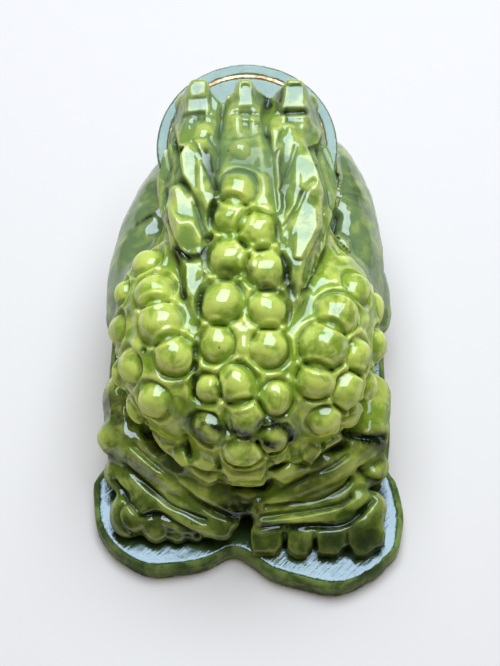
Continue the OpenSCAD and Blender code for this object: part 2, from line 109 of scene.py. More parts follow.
def photoPixels(points):
    # where points in mm appear in the photo, and their distance along the view
    turn = np.array(camera.matrix_world.to_3x3())
    arm = (points - np.array(camera.location) / mm) @ turn
    depth = -arm[:, 2]
    across = photoView["width"] / 2 + focalPixels * arm[:, 0] / depth
    down = photoView["height"] / 2 - focalPixels * arm[:, 1] / depth
    return np.c_[across, down], depth


def inView(pixels, depth, cell=3, slack=3.0):
    # the points that nothing hides from the camera, judged by cells of pixels with mm of slack
    row = np.floor(pixels / cell).astype(int)
    row -= row.min(0)
    nearest = np.full(row.max(0) + 1, farAway)
    np.minimum.at(nearest, (row[:, 0], row[:, 1]), depth)
    return depth < nearest[row[:, 0], row[:, 1]] + slack


# mesh helpers, on plain arrays in mm

def nodeArrays(names):
    points, faces, start = [], [], 0
    for name in names:
        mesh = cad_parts[name].data
        co = np.empty(len(mesh.vertices) * 3)
        mesh.vertices.foreach_get("co", co)
        mesh.calc_loop_triangles()
        tri = np.empty(len(mesh.loop_triangles) * 3, dtype=np.int64)
        mesh.loop_triangles.foreach_get("vertices", tri)
        points.append(co.reshape(-1, 3) / mm)
        faces.append(tri.reshape(-1, 3) + start)
        start += len(mesh.vertices)
    return np.concatenate(points), np.concatenate(faces)


def meshFrom(name, points, faces):
    mesh = bpy.data.meshes.new(name)
    mesh.from_pydata((np.asarray(points) * mm).tolist(), [], [list(map(int, f)) for f in faces])
    mesh.update()
    return mesh


def remeshed(points, faces, voxel):
    # one closed skin round everything given
    mesh = meshFrom("rough", points, faces)
    rough = addToScene("rough", mesh)
    change = rough.modifiers.new("skin", "REMESH")
    change.mode = "VOXEL"
    change.voxel_size = voxel * mm
    done = rough.evaluated_get(bpy.context.evaluated_depsgraph_get()).to_mesh()
    co = np.empty(len(done.vertices) * 3)
    done.vertices.foreach_get("co", co)
    quads = [tuple(p.vertices) for p in done.polygons]
    rough.to_mesh_clear()
    bpy.data.objects.remove(rough)
    bpy.data.meshes.remove(mesh)
    return co.reshape(-1, 3) / mm, quads


def quadArray(faces):
    # four corners for every face, with the last one twice on a triangle
    return np.array([f if len(f) == 4 else (f[0], f[1], f[2], f[2]) for f in faces])


def edgesOf(faces):
    q = quadArray(faces)
    pairs = np.concatenate([q[:, [0, 1]], q[:, [1, 2]], q[:, [2, 3]], q[:, [3, 0]]])
    pairs = pairs[pairs[:, 0] != pairs[:, 1]]
    return np.unique(np.sort(pairs, axis=1), axis=0)


def neighbourMean(values, edges):
    total = np.zeros_like(values)
    count = np.bincount(edges.ravel(), minlength=len(values)).astype(float)
    for axis in range(values.shape[1]):
        total[:, axis] = (
            np.bincount(edges[:, 0], weights=values[edges[:, 1], axis], minlength=len(values))
            + np.bincount(edges[:, 1], weights=values[edges[:, 0], axis], minlength=len(values))
        )
    return total / np.maximum(count, 1)[:, None]


evenPull = 0.5  # share of the way to its neighbours' mean that a point moves in one pass


def relaxed(points, edges, rounds):
    # evens out the skin
    for _ in range(rounds):
        points = points + evenPull * (neighbourMean(points, edges) - points)
    return points


def spread(values, edges, rounds):
    # fades what marks a few points out into their surroundings
    values = values[:, None]
    for _ in range(rounds):
        values = neighbourMean(values, edges)
    return values[:, 0]


def normalsOf(points, faces):
    q = quadArray(faces)
    across = np.cross(points[q[:, 2]] - points[q[:, 0]], points[q[:, 3]] - points[q[:, 1]])
    flat = q[:, 2] == q[:, 3]
    across[flat] = np.cross(
        points[q[flat, 1]] - points[q[flat, 0]], points[q[flat, 2]] - points[q[flat, 0]]
    )
    normals = np.zeros_like(points)
    for corner in range(4):
        for axis in range(3):
            normals[:, axis] += np.bincount(q[:, corner], weights=across[:, axis], minlength=len(points))
    return normals / np.maximum(np.linalg.norm(normals, axis=1), tiny * tiny)[:, None]


def onNodes(points, names, reach):
    # 1 for each point within reach of these CAD members, else 0
    somePoints, someFaces = nodeArrays(names)
    tree = BVHTree.FromPolygons(somePoints.tolist(), someFaces.tolist())
    return np.array([tree.find_nearest(Vector(p), reach)[0] is not None for p in points], dtype=float)


def joined(sets):
    # several meshes as one
    points, faces, start = [], [], 0
    for some, these in sets:
        points.append(some)
        faces += [tuple(int(k) + start for k in face) for face in these]
        start += len(some)
    return np.concatenate(points), faces


# carving tools: each pushes the skin in or out near a line or a spot

def curveThrough(path, step):
    # pixels along a smooth curve through the path
    ends = [path[0]] + list(path) + [path[-1]]
    spots = []
    for a, b, c, d in zip(ends, ends[1:], ends[2:], ends[3:]):
        count = max(2, int(math.dist(b, c) / step))
        for k in range(count):
            t = k / count
            spots.append([
                b[i] + t / 2 * (c[i] - a[i] + t * (2 * a[i] - 5 * b[i] + 4 * c[i] - d[i]
                + t * (3 * (b[i] - c[i]) + d[i] - a[i]))) for i in (0, 1)
            ])
    return spots + [list(path[-1])]


def onSkin(tree, pixels):
    # where the photo's view through these pixels meets the stone
    spots = [tree.ray_cast(*photoRay(x, y))[0] for x, y in pixels]
    return np.array([spot for spot in spots if spot is not None])


def inBox(points, spots, reach=0.0):
    # the points in the box that stands this far clear of the spots
    low, high = np.min(spots, axis=0) - reach, np.max(spots, axis=0) + reach
    return ((points > low) & (points < high)).all(1)


def gapTo(points, spots):
    # how far each point is from the nearest spot
    gap = np.full(len(points), farAway)
    for spot in spots:
        gap = np.minimum(gap, np.linalg.norm(points - spot, axis=1))
    return gap


grooveSlope = 1.2  # power of a groove's fall: 1 is a plain V, and more has a finer edge


def push(points, normals, spots, width, height, sharp=False):
    # raises the skin by height, or cuts it where height is negative, within width of the spots
    near = np.nonzero(inBox(points, spots, width))[0]
    share = np.clip(1 - gapTo(points[near], spots) / width, 0, 1)
    shape = share ** grooveSlope if sharp else share * share * (3 - 2 * share)
    points[near] += normals[near] * (height * shape)[:, None]


def insideBy(pixels, outline):
    # how many pixels each point lies inside a closed outline, negative outside
    gap = np.full(len(pixels), farAway)
    inside = np.zeros(len(pixels), dtype=bool)
    for a, b in zip(outline, outline[1:] + outline[:1]):
        a, b = np.array(a, dtype=float), np.array(b, dtype=float)
        edge = b - a
        share = np.clip(((pixels - a) @ edge) / (edge @ edge), 0, 1)
        gap = np.minimum(gap, np.linalg.norm(pixels - a - share[:, None] * edge, axis=1))
        if a[1] != b[1]:
            crossed = (a[1] > pixels[:, 1]) != (b[1] > pixels[:, 1])
            inside ^= crossed & (pixels[:, 0] < a[0] + (pixels[:, 1] - a[1]) * edge[0] / edge[1])
    return np.where(inside, gap, -gap)


def raisePlate(points, pixels, seen, outline, root, tip, height, bevel=2.0):
    # a plate of stone that grows out of the skin at its root,
    # and stands proud at its tip, towards the camera
    near = np.nonzero(seen & inBox(pixels, outline))[0]
    way = np.subtract(tip, root).astype(float)
    along = np.clip(((pixels[near] - root) @ way) / (way @ way), 0, 1)
    edge = np.clip(insideBy(pixels[near], outline) / bevel, 0, 1)
    arm = np.array(camera.location) / mm - points[near]
    points[near] += arm / np.linalg.norm(arm, axis=1)[:, None] * (height * along * edge)[:, None]


def grindFacet(points, pixels, seen, tree, outline, pivot, lean, limit=2.0, bevel=2.0):
    # moves the skin inside an outline onto a plane through the pivot,
    # which leans to the right and towards the head
    start, way = photoRay(*pivot)
    spot = tree.ray_cast(start, way)[0]
    if spot is None:
        print("no stone under facet at", pivot)
        return
    normal = np.array([math.tan(math.radians(lean[0])), math.tan(math.radians(lean[1])), 1])
    near = np.nonzero(seen & inBox(pixels, outline))[0]
    arm = points[near] - np.array(start)
    reach = np.linalg.norm(arm, axis=1)
    arm /= reach[:, None]
    move = np.clip((np.array(spot) - np.array(start)) @ normal / (arm @ normal) - reach, -limit, limit)
    edge = np.clip(insideBy(pixels[near], outline) / bevel, 0, 1)
    points[near] += arm * (move * edge)[:, None]


def ripple(points, scale, seed):
    # smooth noise for every point, from -1 to 1, with features about scale mm across
    shift = Vector(seed)
    return np.array([noise.noise(Vector(p) / scale + shift) for p in points])


# stone of the toad: the CAD members joined under one skin, then carved

toadSettings = {
    "massVoxel": 0.6, "bodyRounds": 28,       # mm and passes, for the smooth large forms
    "limbRounds": 3, "crispRounds": 1,        # passes for limbs, and for what keeps its edges
    "memberReach": 0.8,                       # mm, a point this near a CAD member belongs to it
    "skinVoxel": 0.32, "skinRounds": 3,       # mm and passes, for the whole carving
    "footLeast": 14.0, "footReach": 1.05,     # square mm of a pearl's CAD foot, and share of its radius
    "pearlSeed": 4,                           # draws how each pearl is turned and out of round
    "pearlAslant": (0.3, 0.9, 0.1),           # a direction that no pearl faces
    "pearlSwell": 1.08, "pearlSink": 0.35,    # shares of a pearl's radius, against its CAD dome
    "pearlUneven": 0.11,                      # share by which a pearl is out of round
    "pearlHeight": 0.72, "rumpHeight": 0.88,  # shares of a CAD dome's height, at the neck and the rump
    "neckAt": 12.0, "rumpAt": -26.0,          # mm along y, where those two hold
    "fillRounds": 90, "fillReach": 3.0,       # passes and mm, how widely stone fills in among pearls
    "fillShare": 0.66, "fillFade": 8,         # share of a cleft that it fills, and passes of its fade
    "armSwell": {"left_foreleg": -2.0, "right_foreleg": 2.7},  # mm along x, by which an arm stands out
    "armFoot": 8.0, "armFade": 8.0,           # mm above the table where that starts, and mm of its rise
    "armRounds": 40,                          # passes of its fade into the chest
    "seatReach": 2.2,                         # share of a pearl's radius that its seat takes in
    "seatLevel": 1.2, "seatFade": 1.0,        # mm above and below a pearl's foot, and the fade beyond
    "ringOut": 0.2, "ringDepth": 0.55, "ringWidth": 0.7,   # mm, the groove round each pearl
    "rimOut": 1.4, "rimHeight": 0.5, "rimWidth": 1.1,      # mm, the raised seat outside that groove
    "lineStep": 2, "patchStep": 3,            # pixels between the spots of a line and of a dark patch
    "plateRounds": 1, "lastRounds": 2,        # passes after the plates, and after the tool marks
    "handWave": 0.28, "handWaveSize": 5.0, "handWaveSeed": (3, 1, 7),   # mm, unevenness of hand carving
    "toolMark": 0.12, "toolMarkSize": 2.4, "toolMarkSeed": (9, 4, 2),   # mm, finer unevenness
    "lowest": 0.5,                            # mm above the table, inside the slab
    "patchReach": 3.0,                        # radii, past which a dark patch is gone
    "cavityRounds": 80,                       # passes that set how wide a crevice darkens
    "greyReach": 3.4, "browReach": 1.5,       # mm from the CAD members, how far the greyer front goes
    "greyRounds": 40,                         # passes of its fade
    "headGrey": 0.9, "earGrey": 0.4,          # how grey the brow and the ears are beside the arms
    "wallPolish": 0.2, "wallFacing": (0.05, 0.55),   # share of the polish on steep faces, and their tilt
    "cleftPolish": 0.3, "cleftDepth": (0.1, 0.7),    # its share in clefts, and their depth in mm
    "dullNodes": {"head": 0.4, "right_hind_leg": 0.55},   # its shares on the members that shine less
    "dullReach": 1.0, "dullRounds": 12,       # mm from those members, and the passes of the fade
}
# CAD members, by how much their edges are evened out, then by finish
bodyNodes = [
    "torso", "left_haunch", "right_haunch", "chest", "head", "lower_lip", "left_foreleg", "right_foreleg",
]
limbNodes = ["left_hind_leg", "right_hind_leg", "left_ear", "right_ear", "rump_scales"]
crispNodes = ["nose", "left_eyelid", "right_eyelid", "left_hind_foot"]
detailNodes = ["left_eye", "right_eye", "right_hind_foot", "left_forefoot", "right_forefoot"]
pearlNodes = ["spine_pearls", "left_flank_pearls", "right_flank_pearls"]
greyNodes = ["chest", "left_foreleg", "right_foreleg", "left_forefoot", "right_forefoot"]
browNodes = ["nose", "left_eyelid", "right_eyelid", "head"]
earNodes = ["left_ear", "right_ear"]

# webs of stone between the points of the brow: pixels, then mm above the coin's face
webs = {
    "leftLid": [(205, 85, 11.9), (222, 103, 10.4), (221, 138, 12.8), (205, 138, 14.2)],
    "leftLidSide": [(184, 98, 11.3), (190, 84, 12.2), (192, 127, 12.2), (178, 127, 9.6)],
    "leftNose": [(239, 84, 11.8), (239, 138, 13.6), (221, 138, 12.8), (222, 103, 10.4)],
    "rightNose": [(251, 84, 11.8), (269, 98, 8.4), (267, 138, 12.8), (251, 138, 13.6)],
    "rightLid": [(285, 85, 11.8), (285, 138, 14.2), (267, 138, 12.8), (269, 98, 8.4)],
    "rightLidSide": [(302, 83, 12.4), (309, 110, 11.4), (313, 127, 10.4), (298, 127, 12.2)],
    "leftBrow": [
        (175, 126, 8.5), (187, 118, 11.8), (206, 118, 12.0), (220, 127, 9.5), (212, 138, 13.2),
        (194, 143, 14.6), (178, 144, 12.5),
    ],
    "rightBrow": [
        (279, 118, 12.0), (305, 118, 11.9), (315, 124, 9.6), (322, 132, 7.5), (318, 143, 10.0),
        (298, 150, 15.0), (282, 147, 14.7),
    ],
}
webFloor = 0.6  # mm above the coin's face, so that the coin slides clear

# square toes of the right hind foot: pixels, then mm above the slab
toes = {
    "first": [(250, 528, 5.6), (281, 533, 5.6), (281, 540, 4.8), (276.5, 551, 3.2), (252, 551, 3.2)],
    "second": [
        (288, 533, 5.6), (311, 533, 5.6), (311, 540, 4.8), (307, 554, 3.2), (297, 554, 3.2),
        (287.5, 547, 3.8),
    ],
    "third": [(317, 533, 5.6), (345, 533, 5.6), (345, 541, 4.8), (338, 553, 3.2), (318, 552, 3.2)],
    "fourth": [
        (349, 533, 5.8), (378, 522, 6.2), (386, 532, 5.0), (377, 545, 4.0), (366, 554, 3.2),
        (356, 554, 3.2), (349, 542, 4.8),
    ],
}
toeFloor = -0.4  # mm above the slab, so that the toes grow out of it

# lumps of stone between the members: pixel, mm above the table, then the radii in mm
lumps = {
    "underHem": ((247, 493), 12.0, (9.0, 5.0, 6.0)),
    "leftHeel": ((129, 514), 9.0, (4.4, 5.4, 4.4)),
}

# facets: outline and a point on the skin in pixels of the photo, then the degrees that the facet leans
# to the right and towards the head; a soft one adds the most mm that it moves the skin, and the pixels
# of its bevel
facets = {
    "leftLobe": (
        [(158, 162), (161, 147), (167, 141), (174, 146), (174, 170), (169, 183), (163, 188), (159, 176)],
        (168, 160), (-22, -6)),
    "leftUpperLeaf": (
        [(178, 144), (190, 143), (198, 160), (199, 190), (191, 189), (181, 176)], (189, 165), (-3, -6)),
    "leftUpperInner": (
        [(193, 141), (207, 138), (216, 158), (217, 187), (208, 196), (201, 192), (200, 160)],
        (206, 166), (22, -4)),
    "leftLowerLeaf": (
        [(171, 188), (174, 185), (181, 185), (193, 206), (193, 216), (182, 217), (174, 203)],
        (182, 203), (-4, -6)),
    "leftLowerEnd": (
        [(170, 208), (182, 219), (194, 219), (204, 237), (202, 249), (188, 254), (177, 245)],
        (190, 234), (-2, -24)),
    "leftTail": ([(182, 260), (200, 258), (203, 276), (194, 298), (187, 297)], (192, 276), (4, -16)),
    "rightUpperLeaf": (
        [(299, 152), (311, 151), (318, 164), (322, 181), (318, 192), (306, 189), (299, 187)],
        (308, 172), (4, -6)),
    "rightUpperInner": (
        [(284, 190), (295, 149), (298, 153), (298, 188), (299, 205), (284, 225)],
        (292, 190), (-20, -4)),
    "rightLowerLeaf": (
        [(304, 200), (318, 207), (320, 228), (310, 246), (303, 260), (293, 259), (295, 236), (301, 215)],
        (306, 230), (5, -8)),
    "rightLowerOuter": (
        [(321, 195), (331, 220), (326, 248), (316, 268), (305, 288), (302, 280), (305, 262), (312, 248),
         (322, 228)],
        (319, 244), (28, -10)),
    "rightTip": ([(292, 262), (303, 262), (304, 278), (300, 291), (295, 280)], (298, 274), (0, -24)),
    "rightLobe": (
        [(317, 143), (330, 141), (339, 156), (342, 178), (337, 210), (328, 182), (321, 156)],
        (331, 170), (24, -4)),
    "leftArm": (
        [(143, 228), (154, 213), (162, 219), (162, 237), (148, 240)],
        (154, 226), (-6, -6), 1.4, 4.0),
    "rightArm": ([(334, 230), (350, 240), (353, 255), (337, 257), (331, 246)], (338, 240), (6, -6)),
    "leftWeb": ([(209, 91), (222, 104), (221, 114), (209, 112)], (215, 105), (4, -7)),
    "leftLidFlat": ([(186, 97), (207, 96), (209, 112), (184, 114)], (197, 105), (-2, -8)),
    "leftLidTop": ([(188, 84), (198, 81), (206, 88), (207, 95), (187, 96)], (197, 90), (-6, -22)),
    "noseFlat": ([(241, 83), (250, 83), (256, 107), (235, 108)], (246, 97), (0, -8)),
    "rightLidFlat": ([(286, 84), (302, 83), (308, 109), (280, 109)], (294, 97), (1, -6)),
}
# plates: outline, root and tip in pixels of the photo, then the height at the tip in mm
plates = {
    "hemFarLeft": (
        [(150, 424), (176, 422), (187, 440), (173, 450), (160, 449), (152, 436)],
        (166, 420), (166, 450), 1.6),
    "hemLeft": (
        [(171, 447), (187, 449), (190, 466), (181, 468), (171, 457)],
        (180, 446), (182, 468), 1.6),
    "hemInnerLeft": (
        [(190, 448), (213, 454), (219, 466), (205, 471), (192, 465)], (203, 446), (205, 471), 1.6),
    "hemMiddle": (
        [(218, 460), (269, 460), (271, 467), (262, 482), (233, 480), (221, 471)],
        (245, 456), (246, 482), 1.9),
    "hemInnerRight": (
        [(269, 447), (289, 449), (288, 461), (277, 468), (269, 461)],
        (279, 445), (278, 468), 1.6),
    "hemRight": (
        [(299, 437), (321, 438), (323, 452), (311, 466), (302, 461)],
        (310, 434), (310, 466), 1.7),
    "hemFarRight": (
        [(323, 434), (344, 430), (343, 441), (331, 449), (324, 452)],
        (332, 430), (332, 450), 1.4),
    "rightSpur": (
        [(354, 418), (372, 416), (389, 424), (391, 434), (382, 441), (356, 436)],
        (352, 428), (390, 430), 0.8),
}
# lines: pixels of the photo, then width and height in mm, below zero for a groove
lines = {
    "leftOfSpine": (
        [(224, 104), (221, 125), (219, 150), (217, 175), (214, 200), (209, 222), (210, 240), (204, 264),
         (200, 300), (196, 340), (194, 395)], 1.5, -0.8),
    "rightOfSpine": (
        [(267, 104), (264, 120), (268, 142), (271, 158), (275, 195), (279, 230), (281, 247), (286, 272),
         (291, 294), (288, 330)], 1.4, -0.9),
    "spineStrip": ([(259, 138), (262, 165), (265, 195), (268, 220)], 2.2, 0.6),
    "leftLeafVein": ([(192, 141), (203, 160), (216, 188)], 0.9, -0.7),
    "leftLeafInner": ([(210, 136), (218, 152)], 0.9, -0.6),
    "leftLobeVein": ([(167, 146), (168, 158), (171, 172)], 0.8, -0.4),
    "leftLobeEdge": ([(176, 144), (176, 168), (172, 184)], 1.0, -0.8),
    "leftLeafSplit": ([(172, 184), (182, 182), (194, 200), (205, 236)], 1.0, -0.8),
    "leftLeafEnd": ([(172, 244), (180, 255), (190, 258), (203, 254), (208, 238)], 1.4, -1.4),
    "leftLeafOuter": ([(164, 192), (165, 215), (170, 238), (176, 262), (183, 296)], 1.5, -1.1),
    "rightLeafVein": ([(285, 128), (273, 156)], 0.9, -0.7),
    "rightLeafInner": ([(296, 146), (290, 165), (281, 190)], 0.9, -0.7),
    "rightLeafSplit": ([(314, 180), (306, 188), (298, 206), (282, 230)], 0.9, -0.7),
    "rightLobeEdge": ([(318, 152), (326, 180), (335, 217)], 1.2, -1.0),
    "rightLobeVein": ([(323, 150), (331, 168)], 0.8, -0.5),
    "rightLeafEdge": ([(336, 217), (329, 246), (318, 270), (304, 294)], 1.6, -1.4),
    "browStepLeft": ([(181, 117), (195, 115), (210, 114)], 0.8, -0.5),
    "browStepMiddle": ([(234, 113), (257, 114)], 0.8, -0.5),
    "browStepRight": ([(279, 113), (309, 112)], 0.8, -0.6),
    "browRidgeMiddle": ([(234, 119), (257, 121)], 0.9, 0.4),
    "browRidgeRight": ([(279, 118), (308, 118)], 0.9, 0.4),
    "browCrease": ([(228, 137), (241, 139), (254, 136)], 1.4, -0.3),
    "leftSkirt": ([(116, 366), (121, 390), (136, 416), (148, 424)], 1.5, -1.2),
    "hemUndercut": (
        [(146, 430), (158, 453), (170, 461), (181, 472), (192, 471), (206, 476), (221, 477), (233, 485),
         (262, 487), (272, 473), (288, 466), (301, 466), (312, 471), (325, 457), (344, 446)], 1.7, -2.0),
    "hemSeamLeft": ([(186, 436), (189, 456)], 0.9, -0.8),
    "hemSeamInnerLeft": ([(217, 452), (219, 468)], 0.9, -0.8),
    "hemSeamInnerRight": ([(271, 452), (269, 470)], 0.9, -0.8),
    "hemSeamRight": ([(291, 446), (296, 464)], 1.2, -1.0),
    "underHemUpper": ([(234, 489), (248, 491), (263, 489)], 0.8, -0.6),
    "underHemLower": ([(238, 496), (250, 498), (262, 495)], 0.8, -0.6),
    "leftFoldOne": (
        [(134, 446), (150, 461), (168, 476), (190, 496), (214, 511), (236, 520)],
        1.3, -1.2),
    "leftFoldTwo": ([(127, 467), (145, 484), (160, 496), (174, 507), (205, 520)], 1.2, -1.1),
    "leftFoldThree": (
        [(115, 482), (130, 501), (143, 515), (160, 515), (177, 525), (198, 536)],
        1.3, -1.3),
    "leftCrestThree": ([(121, 480), (140, 499), (166, 514), (190, 527), (212, 525)], 1.7, 0.3),
    "leftHeelInner": (
        [(140, 508), (128, 501), (118, 509), (118, 521), (128, 533), (146, 539)],
        1.0, -0.8),
    "rightFoldOne": ([(261, 499), (300, 481), (330, 467), (346, 456)], 1.2, -0.9),
    "rightCrestOne": ([(270, 503), (300, 493), (330, 480), (346, 470)], 1.8, 0.3),
    "rightFoldTwo": ([(266, 507), (290, 505), (320, 501), (343, 489), (351, 480)], 1.3, -1.3),
    "rightFoldThree": ([(262, 517), (300, 512), (335, 506), (351, 497)], 1.2, -1.1),
    "rightFoldFour": ([(257, 528), (300, 526), (335, 526), (352, 520), (373, 500)], 1.2, -1.0),
    "kneeFold": ([(361, 470), (368, 478), (380, 484)], 1.6, -1.2),
    "rightHip": ([(344, 432), (362, 438), (386, 438)], 1.4, -1.2),
}
# bumps: pixel, then radius and height in mm, below zero for a hollow
bumps = {
    "brow": ((242, 128), 4.2, 0.8),
    "forehead": ((240, 150), 4.2, 1.7),
    "spineSaddle": ((243, 330), 3.4, 1.0),
    "spineSaddleLow": ((246, 348), 3.0, 0.9),
    "leftNub": ((137, 350), 2.6, 0.7),
    "rightNub": ((366, 318), 3.0, 0.8),
    "lidPit": ((197, 119), 1.1, -0.5),
    "flankPit": ((144, 350), 0.8, -1.0),
    "kneeKnob": ((374, 474), 2.6, 1.0),
    "leftKnee": ((105, 438), 5.0, 1.7),
    "underHem": ((249, 492), 3.0, 1.2),
}
# dark patches, the stone's own stains and painted shade: pixels along each, then radius in mm and
# strength; the painted shade is marked below
stainsAndShade = {
    "rumpVein": ([(200, 422), (222, 428), (240, 433), (254, 439), (272, 446)], 1.4, 1.0),
    "rumpVeinRight": ([(262, 424), (276, 424), (288, 430), (292, 442)], 2.0, 1.0),
    "rumpLeft": ([(192, 420), (200, 440)], 2.6, 0.8),
    "thighLeft": ([(106, 404), (118, 412), (128, 424)], 4.5, 0.8),
    "thighLeftLow": ([(112, 456), (130, 464), (150, 476)], 2.8, 0.7),
    "hipRight": ([(346, 436), (362, 440), (382, 440)], 2.8, 1.0),
    "thighRight": ([(296, 494), (312, 480), (334, 466)], 3.4, 0.6),
    # painted shade in the notch of the right leaf
    "rightLeafNotch": ([(302, 192), (312, 196)], 1.6, 0.6),
    # painted shade: the valley right of the nose, the shaded side of the right lid, and the step below
    # that lid
    "valleyRight": ([(266, 98), (270, 106)], 1.6, 0.9),
    "lidRight": ([(281, 84), (278, 108)], 1.4, 0.8),
    "lidRightFoot": ([(284, 112), (306, 113)], 0.9, 0.8),
    "rightTip": ([(288, 268), (291, 286), (298, 298)], 2.0, 0.7),
    "leftLeafEnd": ([(176, 250), (190, 257), (204, 252)], 1.2, 0.9),
    "flankLeft": ([(116, 306), (126, 316)], 2.4, 0.5),
    "flankPit": ([(144, 350)], 0.8, 1.0),
    # painted shade under the overhanging hem
    "hemLeft": ([(142, 432), (158, 455), (180, 472)], 1.8, 0.7),
    "hemRight": ([(300, 468), (322, 456), (342, 446)], 1.6, 0.7),
    # painted shade in the valleys between the leaves and the spine
    "leftLeafValley": ([(205, 150), (211, 168), (216, 190), (212, 208)], 1.2, 0.7),
    "rightLeafValley": ([(279, 150), (281, 178), (284, 205)], 1.1, 0.5),
    "leftArm": ([(138, 224), (150, 216), (160, 214), (168, 222)], 0.8, 0.9),
    "rightArm": ([(352, 172), (358, 195), (366, 215)], 1.4, 0.45),
    "spineLow": ([(262, 282), (276, 290), (288, 284)], 1.6, 0.6),
    "spineUpper": ([(226, 268), (240, 274), (250, 270)], 1.2, 0.6),
    # painted shade between the legs and in the crease above the right foot
    "betweenLegs": ([(232, 510), (244, 520), (250, 512)], 3.4, 1.0),
    "footTop": ([(264, 526), (300, 527), (330, 527), (348, 524)], 1.3, 1.0),
    "rightFoot": ([(258, 544), (300, 545), (340, 545), (372, 540)], 4.0, 0.5),
    # painted shade in the gaps between the right foot's toes
    "firstToeGap": ([(284, 546)], 1.2, 1.0),
    "secondToeGap": ([(314, 547)], 1.2, 1.0),
    "thirdToeGap": ([(346, 549)], 1.2, 1.0),
}


def pearlFeet(names, settings):
    # the flat round foot of each pearl in the CAD: its middle, outward direction, radius and height
    feet = []
    for name in names:
        points, tris = nodeArrays([name])
        a, b, c = (points[tris[:, k]] for k in range(3))
        cross = np.cross(b - a, c - a)
        area = np.linalg.norm(cross, axis=1) / 2
        fine = area > tiny
        area = area[fine]
        normal = cross[fine] / (2 * area[:, None])
        middle = ((a + b + c) / 3)[fine]
        # faces of one direction and one distance from the origin, to a tenth, are one flat face
        plane = np.round(np.c_[normal, (normal * middle).sum(1)], 1)
        group = np.unique(plane, axis=0, return_inverse=True)[1].ravel()
        size = np.bincount(group, weights=area)
        for k in np.nonzero(size > settings["footLeast"])[0]:
            weight = area[group == k]
            centre = (middle[group == k] * weight[:, None]).sum(0) / weight.sum()
            outward = -(normal[group == k] * weight[:, None]).sum(0) / weight.sum()
            outward /= np.linalg.norm(outward)
            radius = math.sqrt(size[k] / math.pi)
            near = np.linalg.norm(points - centre, axis=1) < radius * settings["footReach"]
            above = (points - centre)[near] @ outward
            feet.append((centre, outward, radius, above.max()))
    return feet


def pearlDomes(pearls, settings):
    # each pearl as a slightly uneven egg sunk into the skin
    draw = random.Random(settings["pearlSeed"])
    sets = []
    for centre, outward, radius, height in pearls:
        side = np.cross(outward, settings["pearlAslant"])
        side /= np.linalg.norm(side)
        turn = draw.uniform(0, math.pi)
        side = side * math.cos(turn) + np.cross(outward, side) * math.sin(turn)
        uneven = 1 + draw.uniform(-1, 1) * settings["pearlUneven"]
        sink = settings["pearlSink"] * radius
        wide = settings["pearlSwell"] * radius
        forward = np.interp(centre[1], (settings["rumpAt"], settings["neckAt"]), (0, 1))
        share = settings["rumpHeight"] + forward * (settings["pearlHeight"] - settings["rumpHeight"])
        tall = share * height + sink
        axes = np.array([side * wide * uneven, np.cross(outward, side) * wide / uneven, outward * tall])
        sets.append(ballAt(centre - outward * sink, axes))
    return sets


def seatPearls(points, pearls, settings):
    # a groove round each pearl, and a raised seat outside it
    for centre, outward, radius, _ in pearls:
        radius = radius * settings["pearlSwell"]
        near = np.nonzero(np.linalg.norm(points - centre, axis=1) < radius * settings["seatReach"])[0]
        arm = points[near] - centre
        height = arm @ outward
        away = np.linalg.norm(arm - height[:, None] * outward, axis=1) - radius
        ring = np.exp(-((away - settings["ringOut"]) / (settings["ringWidth"] / 2)) ** 2)
        rim = np.exp(-((away - settings["rimOut"]) / (settings["rimWidth"] / 2)) ** 2)
        beyond = np.maximum(np.abs(height) - settings["seatLevel"], 0)
        level = np.exp(-(beyond / settings["seatFade"]) ** 2)
        move = (settings["rimHeight"] * rim - settings["ringDepth"] * ring) * level
        points[near] += outward * move[:, None]


def smoothMasses(settings):
    # the body is evened out well, the limbs only a little and the brow's points hardly
    points, faces = remeshed(*nodeArrays(bodyNodes + limbNodes + crispNodes), settings["massVoxel"])
    edges = edgesOf(faces)
    reach = settings["memberReach"]
    crisp = onNodes(points, crispNodes, reach)[:, None]
    limb = np.maximum(onNodes(points, limbNodes, reach)[:, None] - crisp, 0)
    for k in range(settings["bodyRounds"]):
        share = np.ones_like(crisp)
        share -= limb if k >= settings["limbRounds"] else 0
        share -= crisp if k >= settings["crispRounds"] else 0
        points = points + evenPull * neighbourMean(share, edges) * (neighbourMean(points, edges) - points)
    for name, amount in settings["armSwell"].items():
        share = spread(onNodes(points, [name], reach), edges, settings["armRounds"])
        raised = np.clip((points[:, 2] - settings["armFoot"]) / settings["armFade"], 0, 1)
        points[:, 0] += amount * share * raised
    return points, faces


def wedgesOn(outlines, up, face, floor):
    # closed wedges that stand on a plane, whose face lies this far along up
    sets = []
    for outline in outlines.values():
        count = len(outline)
        tops = [onPlane((x, y), up, face + height) for x, y, height in outline]
        feet = [top - up * (corner[2] - floor) for top, corner in zip(tops, outline)]
        faces = [tuple(range(count)), tuple(range(2 * count - 1, count - 1, -1))]
        faces += [(k, k + count, (k + 1) % count + count, (k + 1) % count) for k in range(count)]
        sets.append((np.array(tops + feet), faces))
    return sets


def browWebs():
    # the coin's face is square to its thinnest direction
    coinPoints = nodeArrays(["coin"])[0]
    up = np.linalg.svd(coinPoints - coinPoints.mean(0), full_matrices=False)[2][2]
    up *= np.sign(up[2])
    return wedgesOn(webs, up, (coinPoints @ up).max(), webFloor)


def squareToes():
    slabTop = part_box("base_slab")[1][2] / mm
    return wedgesOn(toes, tableUp, slabTop, toeFloor)


